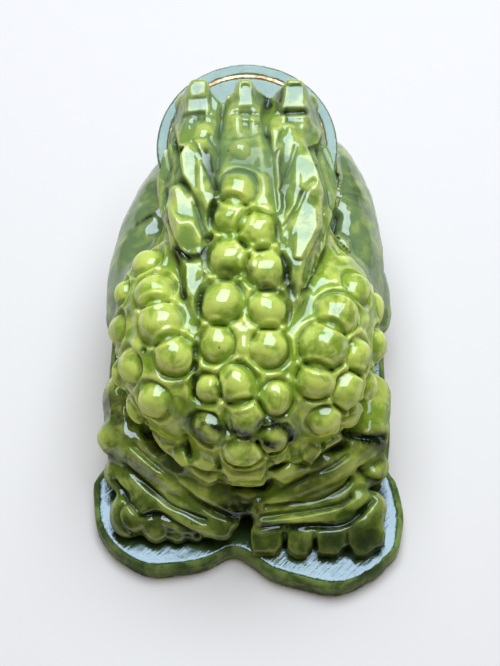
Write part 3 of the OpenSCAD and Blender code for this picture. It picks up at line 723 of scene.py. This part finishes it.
def ballAt(middle, axes, rings=14, spokes=28):
    # an egg round a middle, with its three half-axes as rows
    points, faces = [], []
    for i in range(rings + 1):
        a = math.pi * i / rings
        for k in range(spokes):
            b = 2 * math.pi * k / spokes
            ball = (math.sin(a) * math.cos(b), math.sin(a) * math.sin(b), math.cos(a))
            points.append(middle + np.dot(ball, axes))
    for i in range(rings):
        for k in range(spokes):
            n = (k + 1) % spokes
            row, below = i * spokes, (i + 1) * spokes
            faces.append((row + k, below + k, below + n, row + n))
    return np.array(points), faces


def stoneLumps():
    return [
        ballAt(onPlane(pixel, tableUp, height), np.diag(radii)) for pixel, height, radii in lumps.values()
    ]


def fillValleys(points, faces, edges, settings):
    # pearls grow out of the stone, so the clefts among them are shallow
    level = relaxed(points, edges, settings["fillRounds"])
    normals = normalsOf(level, faces)
    depth = ((level - points) * normals).sum(1)
    among = spread(onNodes(points, pearlNodes, settings["fillReach"]), edges, settings["fillFade"])
    rise = settings["fillShare"] * np.maximum(depth, 0)
    return points + normals * rise[:, None] * among[:, None]


# mm, apart from nostrilUp, which is a share of the nose's height
faceSettings = {
    "nostrilApart": 1.4, "nostrilUp": 0.62, "nostrilWide": 1.2, "nostrilDeep": 0.9,
    "pupilForward": 0.8, "pupilWide": 1.0, "pupilDeep": 0.5,
}


def boxInMm(node):
    return [np.array(corner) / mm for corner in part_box(node)]


def carveFace(points, normals, settings):
    # the side of the face that the photo doesn't show: nostrils and pupils
    low, high = boxInMm("nose")
    middle = (low + high) / 2
    height = low[2] + settings["nostrilUp"] * (high[2] - low[2])
    for side in (-1, 1):
        nostril = np.array([[middle[0] + side * settings["nostrilApart"], high[1], height]])
        push(points, normals, nostril, settings["nostrilWide"], -settings["nostrilDeep"])
    for name in ("left_eye", "right_eye"):
        low, high = boxInMm(name)
        middle = (low + high) / 2
        outermost = high[0] if middle[0] > 0 else low[0]
        pupil = np.array([[outermost, middle[1] + settings["pupilForward"], middle[2]]])
        push(points, normals, pupil, settings["pupilWide"], -settings["pupilDeep"])


def carveToad(settings):
    pearls = pearlFeet(pearlNodes, settings)
    sets = [smoothMasses(settings), nodeArrays(detailNodes)]
    sets += pearlDomes(pearls, settings) + browWebs() + squareToes() + stoneLumps()
    points, faces = remeshed(*joined(sets), settings["skinVoxel"])
    edges = edgesOf(faces)
    points = relaxed(points, edges, settings["skinRounds"])
    print("stone skin:", len(points), "points")

    points = fillValleys(points, faces, edges, settings)
    seatPearls(points, pearls, settings)
    print("pearls seated:", len(pearls))

    pixels, depth = photoPixels(points)
    seen = inView(pixels, depth)
    tree = BVHTree.FromPolygons(points.tolist(), faces)
    for facet in facets.values():
        grindFacet(points, pixels, seen, tree, *facet)
    for plate in plates.values():
        raisePlate(points, pixels, seen, *plate)
    points = relaxed(points, edges, settings["plateRounds"])
    print("carved:", len(facets), "facets,", len(plates), "plates")

    tree = BVHTree.FromPolygons(points.tolist(), faces)
    normals = normalsOf(points, faces)
    for path, width, height in lines.values():
        spots = onSkin(tree, curveThrough(path, settings["lineStep"]))
        push(points, normals, spots, width, height, sharp=True)
    for pixel, radius, height in bumps.values():
        push(points, normals, onSkin(tree, [pixel]), radius, height)
    carveFace(points, normals, faceSettings)
    print("carved:", len(lines), "lines,", len(bumps), "bumps")

    wave = settings["handWave"] * ripple(points, settings["handWaveSize"], settings["handWaveSeed"])
    mark = settings["toolMark"] * ripple(points, settings["toolMarkSize"], settings["toolMarkSeed"])
    points = relaxed(points + normals * (wave + mark)[:, None], edges, settings["lastRounds"])
    points[:, 2] = np.maximum(points[:, 2], settings["lowest"])
    return points, faces, edges


def stainAndShadeOf(points, faces, settings):
    # how dark each point is from the stone's own stains and from painted shade
    tree = BVHTree.FromPolygons(points.tolist(), faces)
    dark = np.zeros(len(points))
    for path, radius, strength in stainsAndShade.values():
        spots = onSkin(tree, curveThrough(path, settings["patchStep"]))
        if len(spots) == 0:
            print("no stone under stain", path)
            continue
        near = np.nonzero(inBox(points, spots, settings["patchReach"] * radius))[0]
        fade = np.exp(-(gapTo(points[near], spots) / radius) ** 2)
        dark[near] = np.maximum(dark[near], strength * fade)
    return dark


def cavityOf(points, faces, edges, rounds):
    # how far each point lies below the evened-out skin, in mm
    level = relaxed(points, edges, rounds)
    return ((level - points) * normalsOf(points, faces)).sum(1)


def polishOf(points, faces, edges, cavity, settings):
    # the wheel reaches what faces up and stands proud
    facing = normalsOf(points, faces)[:, 2]
    reached = np.interp(facing, settings["wallFacing"], (settings["wallPolish"], 1))
    for name, share in settings["dullNodes"].items():
        near = spread(onNodes(points, [name], settings["dullReach"]), edges, settings["dullRounds"])
        reached = reached * np.interp(near, (0, 1), (1, share))
    return reached * np.interp(cavity, settings["cleftDepth"], (1, settings["cleftPolish"]))


def greynessOf(points, edges, settings):
    # the arms and chest are greyer than the back, the brow and the ears a little less so
    grey = onNodes(points, greyNodes, settings["greyReach"])
    for names, share in ((browNodes, settings["headGrey"]), (earNodes, settings["earGrey"])):
        grey = np.maximum(grey, share * onNodes(points, names, settings["browReach"]))
    return spread(grey, edges, settings["greyRounds"])


def newPiece(name, points, faces, body, slot, replaced):
    piece = addToScene(name, meshFrom(name, points, faces))
    piece.data.shade_smooth()
    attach(piece, body)
    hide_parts(*replaced)
    return piece


def paint(piece, name, values):
    layer = piece.data.attributes.new(name, "FLOAT", "POINT")
    layer.data.foreach_set("value", values.astype(np.float32))


toadNodes = bodyNodes + limbNodes + crispNodes + detailNodes + pearlNodes
stonePoints, stoneFaces, stoneEdges = carveToad(toadSettings)
toadStone = newPiece("toadStone", stonePoints, stoneFaces, "toad", "jade", toadNodes)
cavity = cavityOf(stonePoints, stoneFaces, stoneEdges, toadSettings["cavityRounds"])
paint(toadStone, "cavity", cavity)
paint(toadStone, "polish", polishOf(stonePoints, stoneFaces, stoneEdges, cavity, toadSettings))
paint(toadStone, "stainAndShade", stainAndShadeOf(stonePoints, stoneFaces, toadSettings))
paint(toadStone, "greyness", greynessOf(stonePoints, stoneEdges, toadSettings))
print("stone painted")

# slab under the toad, ground by hand

slabSettings = {
    "voxel": 0.5, "rounds": 3, "lastRounds": 1,   # mm and passes
    "edgeWave": 0.55, "edgeWaveSize": 10.0, "edgeWaveSeed": (5, 2, 8),   # mm, wobble of the outline
    "underTilt": -0.7, "sideTilt": 0.3,       # upward share of a face's direction, below and at the side
    "bevelWide": 0.9, "bevelDrop": 0.8,       # mm, the slope round the top, across and down
    "bevelUneven": 0.7, "bevelUnevenSize": 2.6, "bevelUnevenSeed": (2, 9, 4),   # share and mm, ragged
    "wallTilt": 0.9,                          # faces tilted less than this belong to the unpolished wall
    "pullMost": 2.2, "pullFade": 6.0,         # mm that the outline is drawn to the photo's, and the fade
    "pullBehind": -24.0,                      # mm along y, behind which it is
    "outlineStep": 2,                         # pixels between the outline's spots
    # pixels of the photo along the foot of the slab
    "outline": [
        (106, 462), (99, 478), (95, 492), (95, 507), (98, 533), (111, 555), (128, 568), (151, 578),
        (178, 577), (205, 572), (225, 562), (235, 559), (251, 568), (271, 582), (298, 590), (331, 597),
        (357, 590), (375, 577), (395, 560), (401, 540), (402, 520), (396, 494), (387, 476), (379, 462),
    ],
}


def drawnOutline(points, wall, settings):
    # how far each point of the slab moves so that its outline follows the photo's,
    # and how far it lies in from the wall
    curve = curveThrough(settings["outline"], settings["outlineStep"])
    foot = [onPlane(pixel, tableUp, 0)[:2] for pixel in curve]
    target, nearest = KDTree(len(foot)), KDTree(len(wall))
    for tree, spots in ((target, foot), (nearest, wall)):
        for k, spot in enumerate(spots):
            tree.insert((*spot, 0), k)
        tree.balance()
    pull = np.array([np.array(target.find((*spot, 0))[0])[:2] - spot for spot in wall])
    length = np.linalg.norm(pull, axis=1)
    pull *= (np.minimum(length, settings["pullMost"]) / np.maximum(length, tiny))[:, None]
    found = [nearest.find((x, y, 0)) for x, y in points[:, :2]]
    inward = np.array([item[2] for item in found])
    share = np.clip(1 - inward / settings["pullFade"], 0, 1)
    share *= np.clip((settings["pullBehind"] - points[:, 1]) / settings["pullFade"], 0, 1)
    return pull[[item[1] for item in found]] * share[:, None], inward


def grindSlab(settings):
    points, faces = remeshed(*nodeArrays(["base_slab"]), settings["voxel"])
    edges = edgesOf(faces)
    points = relaxed(points, edges, settings["rounds"])
    normals = normalsOf(points, faces)
    wave = settings["edgeWave"] * ripple(points, settings["edgeWaveSize"], settings["edgeWaveSeed"])
    sideways = 1 - np.abs(normals[:, 2])
    points = points + normals * (wave * sideways)[:, None]
    under = normals[:, 2] < settings["underTilt"]
    points[:, 2] = np.where(under, 0, np.maximum(points[:, 2], 0))
    # the top slopes down to the outline
    top = points[:, 2].max()
    wall = points[np.abs(normals[:, 2]) < settings["sideTilt"]][:, :2]
    pull, inward = drawnOutline(points, wall, settings)
    uneven = ripple(points, settings["bevelUnevenSize"], settings["bevelUnevenSeed"])
    wide = settings["bevelWide"] * (1 + settings["bevelUneven"] * uneven)
    slope = top - settings["bevelDrop"] * (1 - np.clip(inward / wide, 0, 1))
    points[:, 2] = np.minimum(points[:, 2], slope)
    points[:, :2] += pull
    return relaxed(points, edges, settings["lastRounds"]), faces


slabPoints, slabFaces = grindSlab(slabSettings)
slabStone = newPiece("slabStone", slabPoints, slabFaces, "toad", "dark_jade", ["base_slab"])
print("slab ground:", len(slabPoints), "points")

# coin in the mouth, with worn edges, and the gilding in its lines

coinSettings = {
    "voxel": 0.3, "rounds": 3,                # mm and passes
    "giltVoxel": 0.16,                        # mm
    "giltWave": 0.09, "giltWaveSize": 0.9, "giltWaveSeed": (1, 6, 3),   # mm, the brushed-on gilding
    "gilding": {                              # CAD node and name of each piece
        "coin_ring_inlay": "giltRing", "coin_ray_inlay": "giltRays", "coin_blossom_inlay": "giltBlossoms",
    },
}


def wearCoin(settings):
    points, faces = remeshed(*nodeArrays(["coin"]), settings["voxel"])
    return relaxed(points, edgesOf(faces), settings["rounds"]), faces


def brushGilding(node, settings):
    points, faces = remeshed(*nodeArrays([node]), settings["giltVoxel"])
    wave = settings["giltWave"] * ripple(points, settings["giltWaveSize"], settings["giltWaveSeed"])
    return points + normalsOf(points, faces) * wave[:, None], faces


coinStone = newPiece("coinStone", *wearCoin(coinSettings), "coin", "coin_jade", ["coin"])
gilding = []
for node, name in coinSettings["gilding"].items():
    gilding.append(newPiece(name, *brushGilding(node, coinSettings), "coin", "gilding", [node]))
print("coin worn, gilding brushed on")


# finishes

def feed(tree, source, target):
    # a socket takes another node's output or a fixed value
    if isinstance(source, bpy.types.NodeSocket):
        tree.links.new(source, target)
    else:
        target.default_value = source


def worked(tree, operation, first, second=0.0):
    step = tree.nodes.new("ShaderNodeMath")
    step.operation = operation
    feed(tree, first, step.inputs[0])
    feed(tree, second, step.inputs[1])
    return step.outputs[0]


def newMaterial(name):
    material = bpy.data.materials.new(name)
    material.use_nodes = True
    return material, material.node_tree, material.node_tree.nodes["Principled BSDF"]


stoneColours = ("Light", "Middle", "Dark", "Grey")
stoneNumbers = ("Low", "High", "Veins", "Specks", "Drag", "Smooth", "Dull", "Shine through")

cloudSettings = {
    # noises: size in mm, detail, and distortion where there is some
    "cloud": (16, 5, 0.4), "mottle": (4.5, 6, 0.3), "fray": (2.6, 5), "bend": (11, 3, 1.2),
    "veinPlace": (23, 2), "grain": (1.7, 3), "fineGrain": (0.35, 2), "stroke": (1.0, 4),
    "dulling": (6, 4), "rubbing": (7, 3),
    "noiseRoughness": 0.55, "noiseMiddle": 0.5,
    "strokeTurn": 0.8, "strokeSize": (10, 0.8, 10),   # radians and mm, the slant and length of the strokes
    "cloudLift": 30.0,                        # mm by which clouds shift the change from dark to light
    # ranges: a first and a last value, which become 0 and 1 or the two values after them
    "proud": (-0.75, 0.2, 1.0, 0.0),          # mm below the evened-out skin
    "proudMiddle": 0.35,
    "lightMottle": (0.36, 0.62), "greyMottle": (0.3, 0.7, 0.1, 0.45), "patchFray": (0.25, 0.6, 0.35, 1.15),
    "veinThin": (0.0, 0.05, 1.0, 0.0), "veinShown": (0.5, 0.66),
    "speckApart": 5.5,                        # mm
    "speckWide": (0.03, 0.075, 1.0, 0.0), "speckColour": (0.006, 0.010, 0.003, 1),
    # painted shade in crevices and in shallow folds low on the stone: depths in mm, then shares
    "crevice": (0.1, 0.9), "creviceShadeShare": 0.9, "creviceDull": 0.25,   # mm, then shares
    "fold": (0.03, 0.45), "foldLow": (0.3, 0.95, 0.95, 0.0),          # mm, then how far up the stone
    "fineGrainShare": 0.25, "dullShown": (0.35, 0.7), "rubbed": (0.2, 0.5, 0.7, 1.0),
}


def cloudGroup(settings):
    # cloudy stone: a fine mottle, wide clouds, thin dark veins and specks, from the piece's own place
    group = bpy.data.node_groups.new("cloudyJade", "ShaderNodeTree")
    for name in stoneColours:
        group.interface.new_socket(name, in_out="INPUT", socket_type="NodeSocketColor")
    for name in stoneNumbers:
        group.interface.new_socket(name, in_out="INPUT", socket_type="NodeSocketFloat")
    group.interface.new_socket("Color", in_out="OUTPUT", socket_type="NodeSocketColor")
    for name in ("Height", "Gloss", "Polish"):
        group.interface.new_socket(name, in_out="OUTPUT", socket_type="NodeSocketFloat")
    nodes = group.nodes
    given, result = nodes.new("NodeGroupInput").outputs, nodes.new("NodeGroupOutput").inputs
    place = nodes.new("ShaderNodeTexCoord")
    inMm = nodes.new("ShaderNodeVectorMath")
    inMm.operation = "SCALE"
    inMm.inputs["Scale"].default_value = 1 / mm
    feed(group, place.outputs["Object"], inMm.inputs[0])

    # polishing strokes run slantwise, long and thin
    strokes = nodes.new("ShaderNodeMapping")
    strokes.vector_type = "TEXTURE"
    strokes.inputs["Rotation"].default_value = (0, 0, settings["strokeTurn"])
    strokes.inputs["Scale"].default_value = settings["strokeSize"]
    feed(group, inMm.outputs[0], strokes.inputs["Vector"])

    def noiseAt(size, detail, distortion=0.0, place=inMm):
        texture = nodes.new("ShaderNodeTexNoise")
        texture.inputs["Scale"].default_value = 1 / size
        texture.inputs["Detail"].default_value = detail
        texture.inputs["Distortion"].default_value = distortion
        texture.inputs["Roughness"].default_value = settings["noiseRoughness"]
        feed(group, place.outputs[0], texture.inputs["Vector"])
        return texture.outputs["Fac"]

    def ranged(value, low, high, toLow=0.0, toHigh=1.0):
        change = nodes.new("ShaderNodeMapRange")
        change.interpolation_type = "SMOOTHSTEP"
        feed(group, value, change.inputs["Value"])
        for name, amount in (("From Min", low), ("From Max", high), ("To Min", toLow), ("To Max", toHigh)):
            feed(group, amount, change.inputs[name])
        return change.outputs["Result"]

    def mixed(factor, first, second):
        mix = nodes.new("ShaderNodeMix")
        mix.data_type = "RGBA"
        for name, value in (("Factor", factor), ("A", first), ("B", second)):
            feed(group, value, mix.inputs[name])
        return mix.outputs["Result"]

    def painted(name):
        layer = nodes.new("ShaderNodeAttribute")
        layer.attribute_name = name
        return layer.outputs["Fac"]

    def plus(first, second):
        return worked(group, "ADD", first, second)

    def minus(first, second):
        return worked(group, "SUBTRACT", first, second)

    def times(first, second):
        return worked(group, "MULTIPLY", first, second)

    # the stone is dark at its foot and lighter further up, shifted by wide clouds: partly its own tone,
    # partly painted light that keeps the rump, turned from the window, bright
    apart = nodes.new("ShaderNodeSeparateXYZ")
    feed(group, inMm.outputs[0], apart.inputs[0])
    cloud = minus(noiseAt(*settings["cloud"]), settings["noiseMiddle"])
    level = plus(apart.outputs["Z"], times(cloud, settings["cloudLift"]))
    rise = ranged(level, given["Low"], given["High"])
    tone = mixed(rise, given["Dark"], given["Middle"])
    # light shines through what stands proud
    proud = minus(ranged(painted("cavity"), *settings["proud"]), settings["proudMiddle"])
    mottle = plus(noiseAt(*settings["mottle"]), times(proud, given["Shine through"]))
    upper = times(ranged(mottle, *settings["lightMottle"]), rise)
    tone = mixed(upper, tone, given["Light"])
    grey = mixed(ranged(mottle, *settings["greyMottle"]), given["Grey"], tone)
    tone = mixed(painted("greyness"), tone, grey)
    # dark patches, with frayed edges: the stone's own stains, and painted shade in clefts and gaps
    frayed = ranged(noiseAt(*settings["fray"]), *settings["patchFray"])
    tone = mixed(times(painted("stainAndShade"), frayed), tone, given["Dark"])
    # veins lie where a bent noise passes its middle
    thin = worked(group, "ABSOLUTE", minus(noiseAt(*settings["bend"]), settings["noiseMiddle"]))
    shown = ranged(noiseAt(*settings["veinPlace"]), *settings["veinShown"])
    vein = times(ranged(thin, *settings["veinThin"]), shown)
    tone = mixed(times(vein, given["Veins"]), tone, given["Dark"])
    speck = nodes.new("ShaderNodeTexVoronoi")
    speck.inputs["Scale"].default_value = 1 / settings["speckApart"]
    feed(group, inMm.outputs[0], speck.inputs["Vector"])
    spot = ranged(speck.outputs["Distance"], *settings["speckWide"])
    tone = mixed(times(spot, given["Specks"]), tone, settings["speckColour"])
    # painted shade: crevices, and shallow folds low on the stone, are darkened towards Dark; crevices also
    # shine less
    deep = ranged(painted("cavity"), *settings["crevice"])
    fold = times(ranged(painted("cavity"), *settings["fold"]), ranged(rise, *settings["foldLow"]))
    creviceShade = worked(group, "MAXIMUM", times(deep, settings["creviceShadeShare"]), fold)
    feed(group, mixed(creviceShade, tone, given["Dark"]), result["Color"])
    fine = times(noiseAt(*settings["fineGrain"]), settings["fineGrainShare"])
    grain = plus(noiseAt(*settings["grain"]), fine)
    drag = times(noiseAt(*settings["stroke"], place=strokes), given["Drag"])
    feed(group, plus(grain, drag), result["Height"])
    dulling = noiseAt(*settings["dulling"])
    dull = ranged(dulling, *settings["dullShown"], given["Smooth"], given["Dull"])
    feed(group, plus(dull, times(deep, settings["creviceDull"])), result["Gloss"])
    rubbed = ranged(noiseAt(*settings["rubbing"]), *settings["rubbed"])
    feed(group, times(painted("polish"), rubbed), result["Polish"])
    return group


cloudyJade = cloudGroup(cloudSettings)

jadeSettings = {
    "grainDepth": 0.4,               # mm, the bump's own depth
    "glowDepth": 2.0,                # mm that light goes into the stone
    "glowShares": (1.0, 1.0, 0.35),  # of that, for red, green and blue
}


def jadeMaterial(name, look, settings):
    material, tree, shader = newMaterial(name)
    stone = tree.nodes.new("ShaderNodeGroup")
    stone.node_tree = cloudyJade
    for socket in stoneColours:
        stone.inputs[socket].default_value = (*look[socket], 1)
    for socket in stoneNumbers:
        stone.inputs[socket].default_value = look[socket]
    bump = tree.nodes.new("ShaderNodeBump")
    bump.inputs["Strength"].default_value = look["bump"]
    bump.inputs["Distance"].default_value = settings["grainDepth"] * mm
    feed(tree, stone.outputs["Height"], bump.inputs["Height"])
    feed(tree, stone.outputs["Color"], shader.inputs["Base Color"])
    feed(tree, stone.outputs["Gloss"], shader.inputs["Roughness"])
    feed(tree, bump.outputs["Normal"], shader.inputs["Normal"])
    if look["waxed"]:
        # a wax polish shines as a coat, thinner where it was not rubbed
        shader.inputs["Specular IOR Level"].default_value = 0
        shader.inputs["Coat IOR"].default_value = look["shine"]
        shader.inputs["Coat Roughness"].default_value = look["Smooth"]
        feed(tree, stone.outputs["Polish"], shader.inputs["Coat Weight"])
    else:
        shader.inputs["IOR"].default_value = look["shine"]
    shader.inputs["Specular Tint"].default_value = (*look["tint"], 1)
    shader.inputs["Subsurface Weight"].default_value = look["glow"]
    shader.inputs["Subsurface Radius"].default_value = settings["glowShares"]
    shader.inputs["Subsurface Scale"].default_value = settings["glowDepth"] * mm
    return material


# Low and High are mm above the table, where the dark foot ends and the full colour starts; High is set low
# enough to paint the rump lighter
toadLook = {
    "Light": (0.76, 0.79, 0.145), "Middle": (0.34, 0.45, 0.04), "Dark": (0.007, 0.018, 0.0025),
    "Grey": (0.185, 0.255, 0.115), "Low": 2.0, "High": 27.0,
    "Veins": 0.35, "Specks": 0.6, "Shine through": 0.35, "Drag": 0.2, "Smooth": 0.04, "Dull": 0.10,
    "bump": 0.14, "shine": 1.82, "glow": 0.25, "tint": (1, 1, 1), "waxed": True,
}
slabLook = {
    "Light": (0.09, 0.15, 0.035), "Middle": (0.05, 0.095, 0.022), "Dark": (0.014, 0.034, 0.009),
    "Grey": (0.05, 0.09, 0.03), "Low": -6.0, "High": 12.0,
    "Veins": 0.6, "Specks": 0.5, "Shine through": 0.0, "Drag": 1.6, "Smooth": 0.04, "Dull": 0.1,
    "bump": 0.22, "shine": 2.1, "glow": 0.1, "tint": (0.79, 0.865, 1.0), "waxed": False,
}
wallLook = {
    "Light": (0.29, 0.36, 0.09), "Middle": (0.09, 0.14, 0.03), "Dark": (0.02, 0.035, 0.008),
    "Grey": (0.07, 0.12, 0.03), "Low": -14.0, "High": 10.0,
    "Veins": 0.6, "Specks": 0.4, "Shine through": 0.0, "Drag": 0.6, "Smooth": 0.2, "Dull": 0.4,
    "bump": 0.3, "shine": 1.15, "glow": 0.1, "tint": (1, 1, 1), "waxed": False,
}
coinLook = {
    "Light": (0.19, 0.25, 0.13), "Middle": (0.14, 0.20, 0.09), "Dark": (0.05, 0.09, 0.04),
    "Grey": (0.16, 0.24, 0.12), "Low": 10.0, "High": 50.0,
    "Veins": 0.4, "Specks": 0.3, "Shine through": 0.0, "Drag": 0.6, "Smooth": 0.06, "Dull": 0.14,
    "bump": 0.16, "shine": 1.8, "glow": 0.2, "tint": (0.86, 0.94, 1.0), "waxed": False,
}
for piece, name, look in (
    (toadStone, "toadJade", toadLook), (slabStone, "slabJade", slabLook),
    (slabStone, "slabWallJade", wallLook), (coinStone, "coinJade", coinLook),
):
    piece.data.materials.append(jadeMaterial(name, look, jadeSettings))
for face in slabStone.data.polygons:
    face.material_index = int(abs(face.normal.z) < slabSettings["wallTilt"])

giltLook = {
    "grainScale": 900, "grainDetail": 4,             # per metre
    "worn": (0.32, 0.15, 0.06), "wornAt": 0.35,      # colours, and the noise at which each is full
    "fresh": (0.78, 0.47, 0.27), "freshAt": 0.62,
    "metallic": 0.8, "roughness": 0.38,
}


def giltMaterial(look):
    material, tree, shader = newMaterial("brushedGilding")
    place = tree.nodes.new("ShaderNodeTexCoord")
    grain = tree.nodes.new("ShaderNodeTexNoise")
    grain.inputs["Scale"].default_value = look["grainScale"]
    grain.inputs["Detail"].default_value = look["grainDetail"]
    feed(tree, place.outputs["Object"], grain.inputs["Vector"])
    ramp = tree.nodes.new("ShaderNodeValToRGB")
    for end, name in zip(ramp.color_ramp.elements, ("worn", "fresh")):
        end.position = look[name + "At"]
        end.color = (*look[name], 1)
    feed(tree, grain.outputs["Fac"], ramp.inputs["Fac"])
    feed(tree, ramp.outputs["Color"], shader.inputs["Base Color"])
    shader.inputs["Metallic"].default_value = look["metallic"]
    shader.inputs["Roughness"].default_value = look["roughness"]
    return material


brushedGilding = giltMaterial(giltLook)
for piece in gilding:
    piece.data.materials.append(brushedGilding)
print("finishes set")

# stage: a white table and soft window light from ahead

stageSettings = {
    "tableHalf": 4000.0,                  # mm, half of a side
    "tableColour": (0.94, 0.81, 0.745), "tableRoughness": 0.9, "tableSheen": 0.1,
    "tableGlow": 0.08,                    # lifts the table to the photo's white, in view only
    "windowWide": 0.62, "windowTall": 0.60, "windowAway": 0.7,   # metres
    "windowRise": 72.0, "windowTurn": 10.0,   # degrees above the table, and to the right of straight ahead
    "windowRadiance": 5.8, "windowColour": (0.70, 0.86, 1.0),
    "roomAhead": 0.15, "roomBehind": 0.02,   # the room is bright towards the window and dark behind
    "roomFrom": -0.3,                     # cosine to straight ahead, below which the room is dark
}


def layTable(settings):
    half = settings["tableHalf"]
    corners = [(-half, -half, 0), (half, -half, 0), (half, half, 0), (-half, half, 0)]
    table = addToScene("table", meshFrom("table", corners, [(0, 1, 2, 3)]))
    material, tree, shader = newMaterial("paleTable")
    shader.inputs["Base Color"].default_value = (*settings["tableColour"], 1)
    shader.inputs["Roughness"].default_value = settings["tableRoughness"]
    shader.inputs["Specular IOR Level"].default_value = settings["tableSheen"]
    # the camera, mirrors and clear stone see the table lifted to white; its shadow stays
    ray = tree.nodes.new("ShaderNodeLightPath").outputs
    seen = worked(tree, "ADD", ray["Is Camera Ray"], ray["Is Glossy Ray"])
    seen = worked(tree, "ADD", seen, ray["Is Transmission Ray"])
    lift = tree.nodes.new("ShaderNodeEmission")
    lift.inputs["Color"].default_value = (*settings["tableColour"], 1)
    feed(tree, worked(tree, "MULTIPLY", seen, settings["tableGlow"]), lift.inputs["Strength"])
    both = tree.nodes.new("ShaderNodeAddShader")
    feed(tree, shader.outputs[0], both.inputs[0])
    feed(tree, lift.outputs[0], both.inputs[1])
    feed(tree, both.outputs[0], tree.nodes["Material Output"].inputs["Surface"])
    table.data.materials.append(material)


def softWindow(settings):
    data = bpy.data.lights.new("window", "AREA")
    data.shape = "RECTANGLE"
    data.size = settings["windowWide"]
    data.size_y = settings["windowTall"]
    data.energy = settings["windowRadiance"] * math.pi * data.size * data.size_y
    data.color = settings["windowColour"]
    lamp = addToScene("window", data)
    rise = math.radians(settings["windowRise"])
    turn = math.radians(settings["windowTurn"])
    towards = Vector((math.sin(turn) * math.cos(rise), math.cos(turn) * math.cos(rise), math.sin(rise)))
    lamp.location = towards * settings["windowAway"]
    lamp.rotation_euler = towards.to_track_quat("Z", "Y").to_euler()


def roomLight(settings):
    world = bpy.data.worlds.new("room")
    world.use_nodes = True
    tree = world.node_tree
    sky = tree.nodes["Background"]
    sky.inputs["Color"].default_value = (1, 1, 1, 1)
    way = tree.nodes.new("ShaderNodeTexCoord")
    ahead = tree.nodes.new("ShaderNodeVectorMath")
    ahead.operation = "DOT_PRODUCT"
    rise = math.radians(photoView["elevation"])
    ahead.inputs[1].default_value = (0, math.cos(rise), math.sin(rise))
    feed(tree, way.outputs["Generated"], ahead.inputs[0])
    level = tree.nodes.new("ShaderNodeMapRange")
    level.inputs["From Min"].default_value = settings["roomFrom"]
    level.inputs["To Min"].default_value = settings["roomBehind"]
    level.inputs["To Max"].default_value = settings["roomAhead"]
    feed(tree, ahead.outputs["Value"], level.inputs["Value"])
    feed(tree, level.outputs["Result"], sky.inputs["Strength"])
    bpy.context.scene.world = world


layTable(stageSettings)
softWindow(stageSettings)
roomLight(stageSettings)
bpy.context.scene.view_settings.view_transform = "Standard"

print("scene ready")
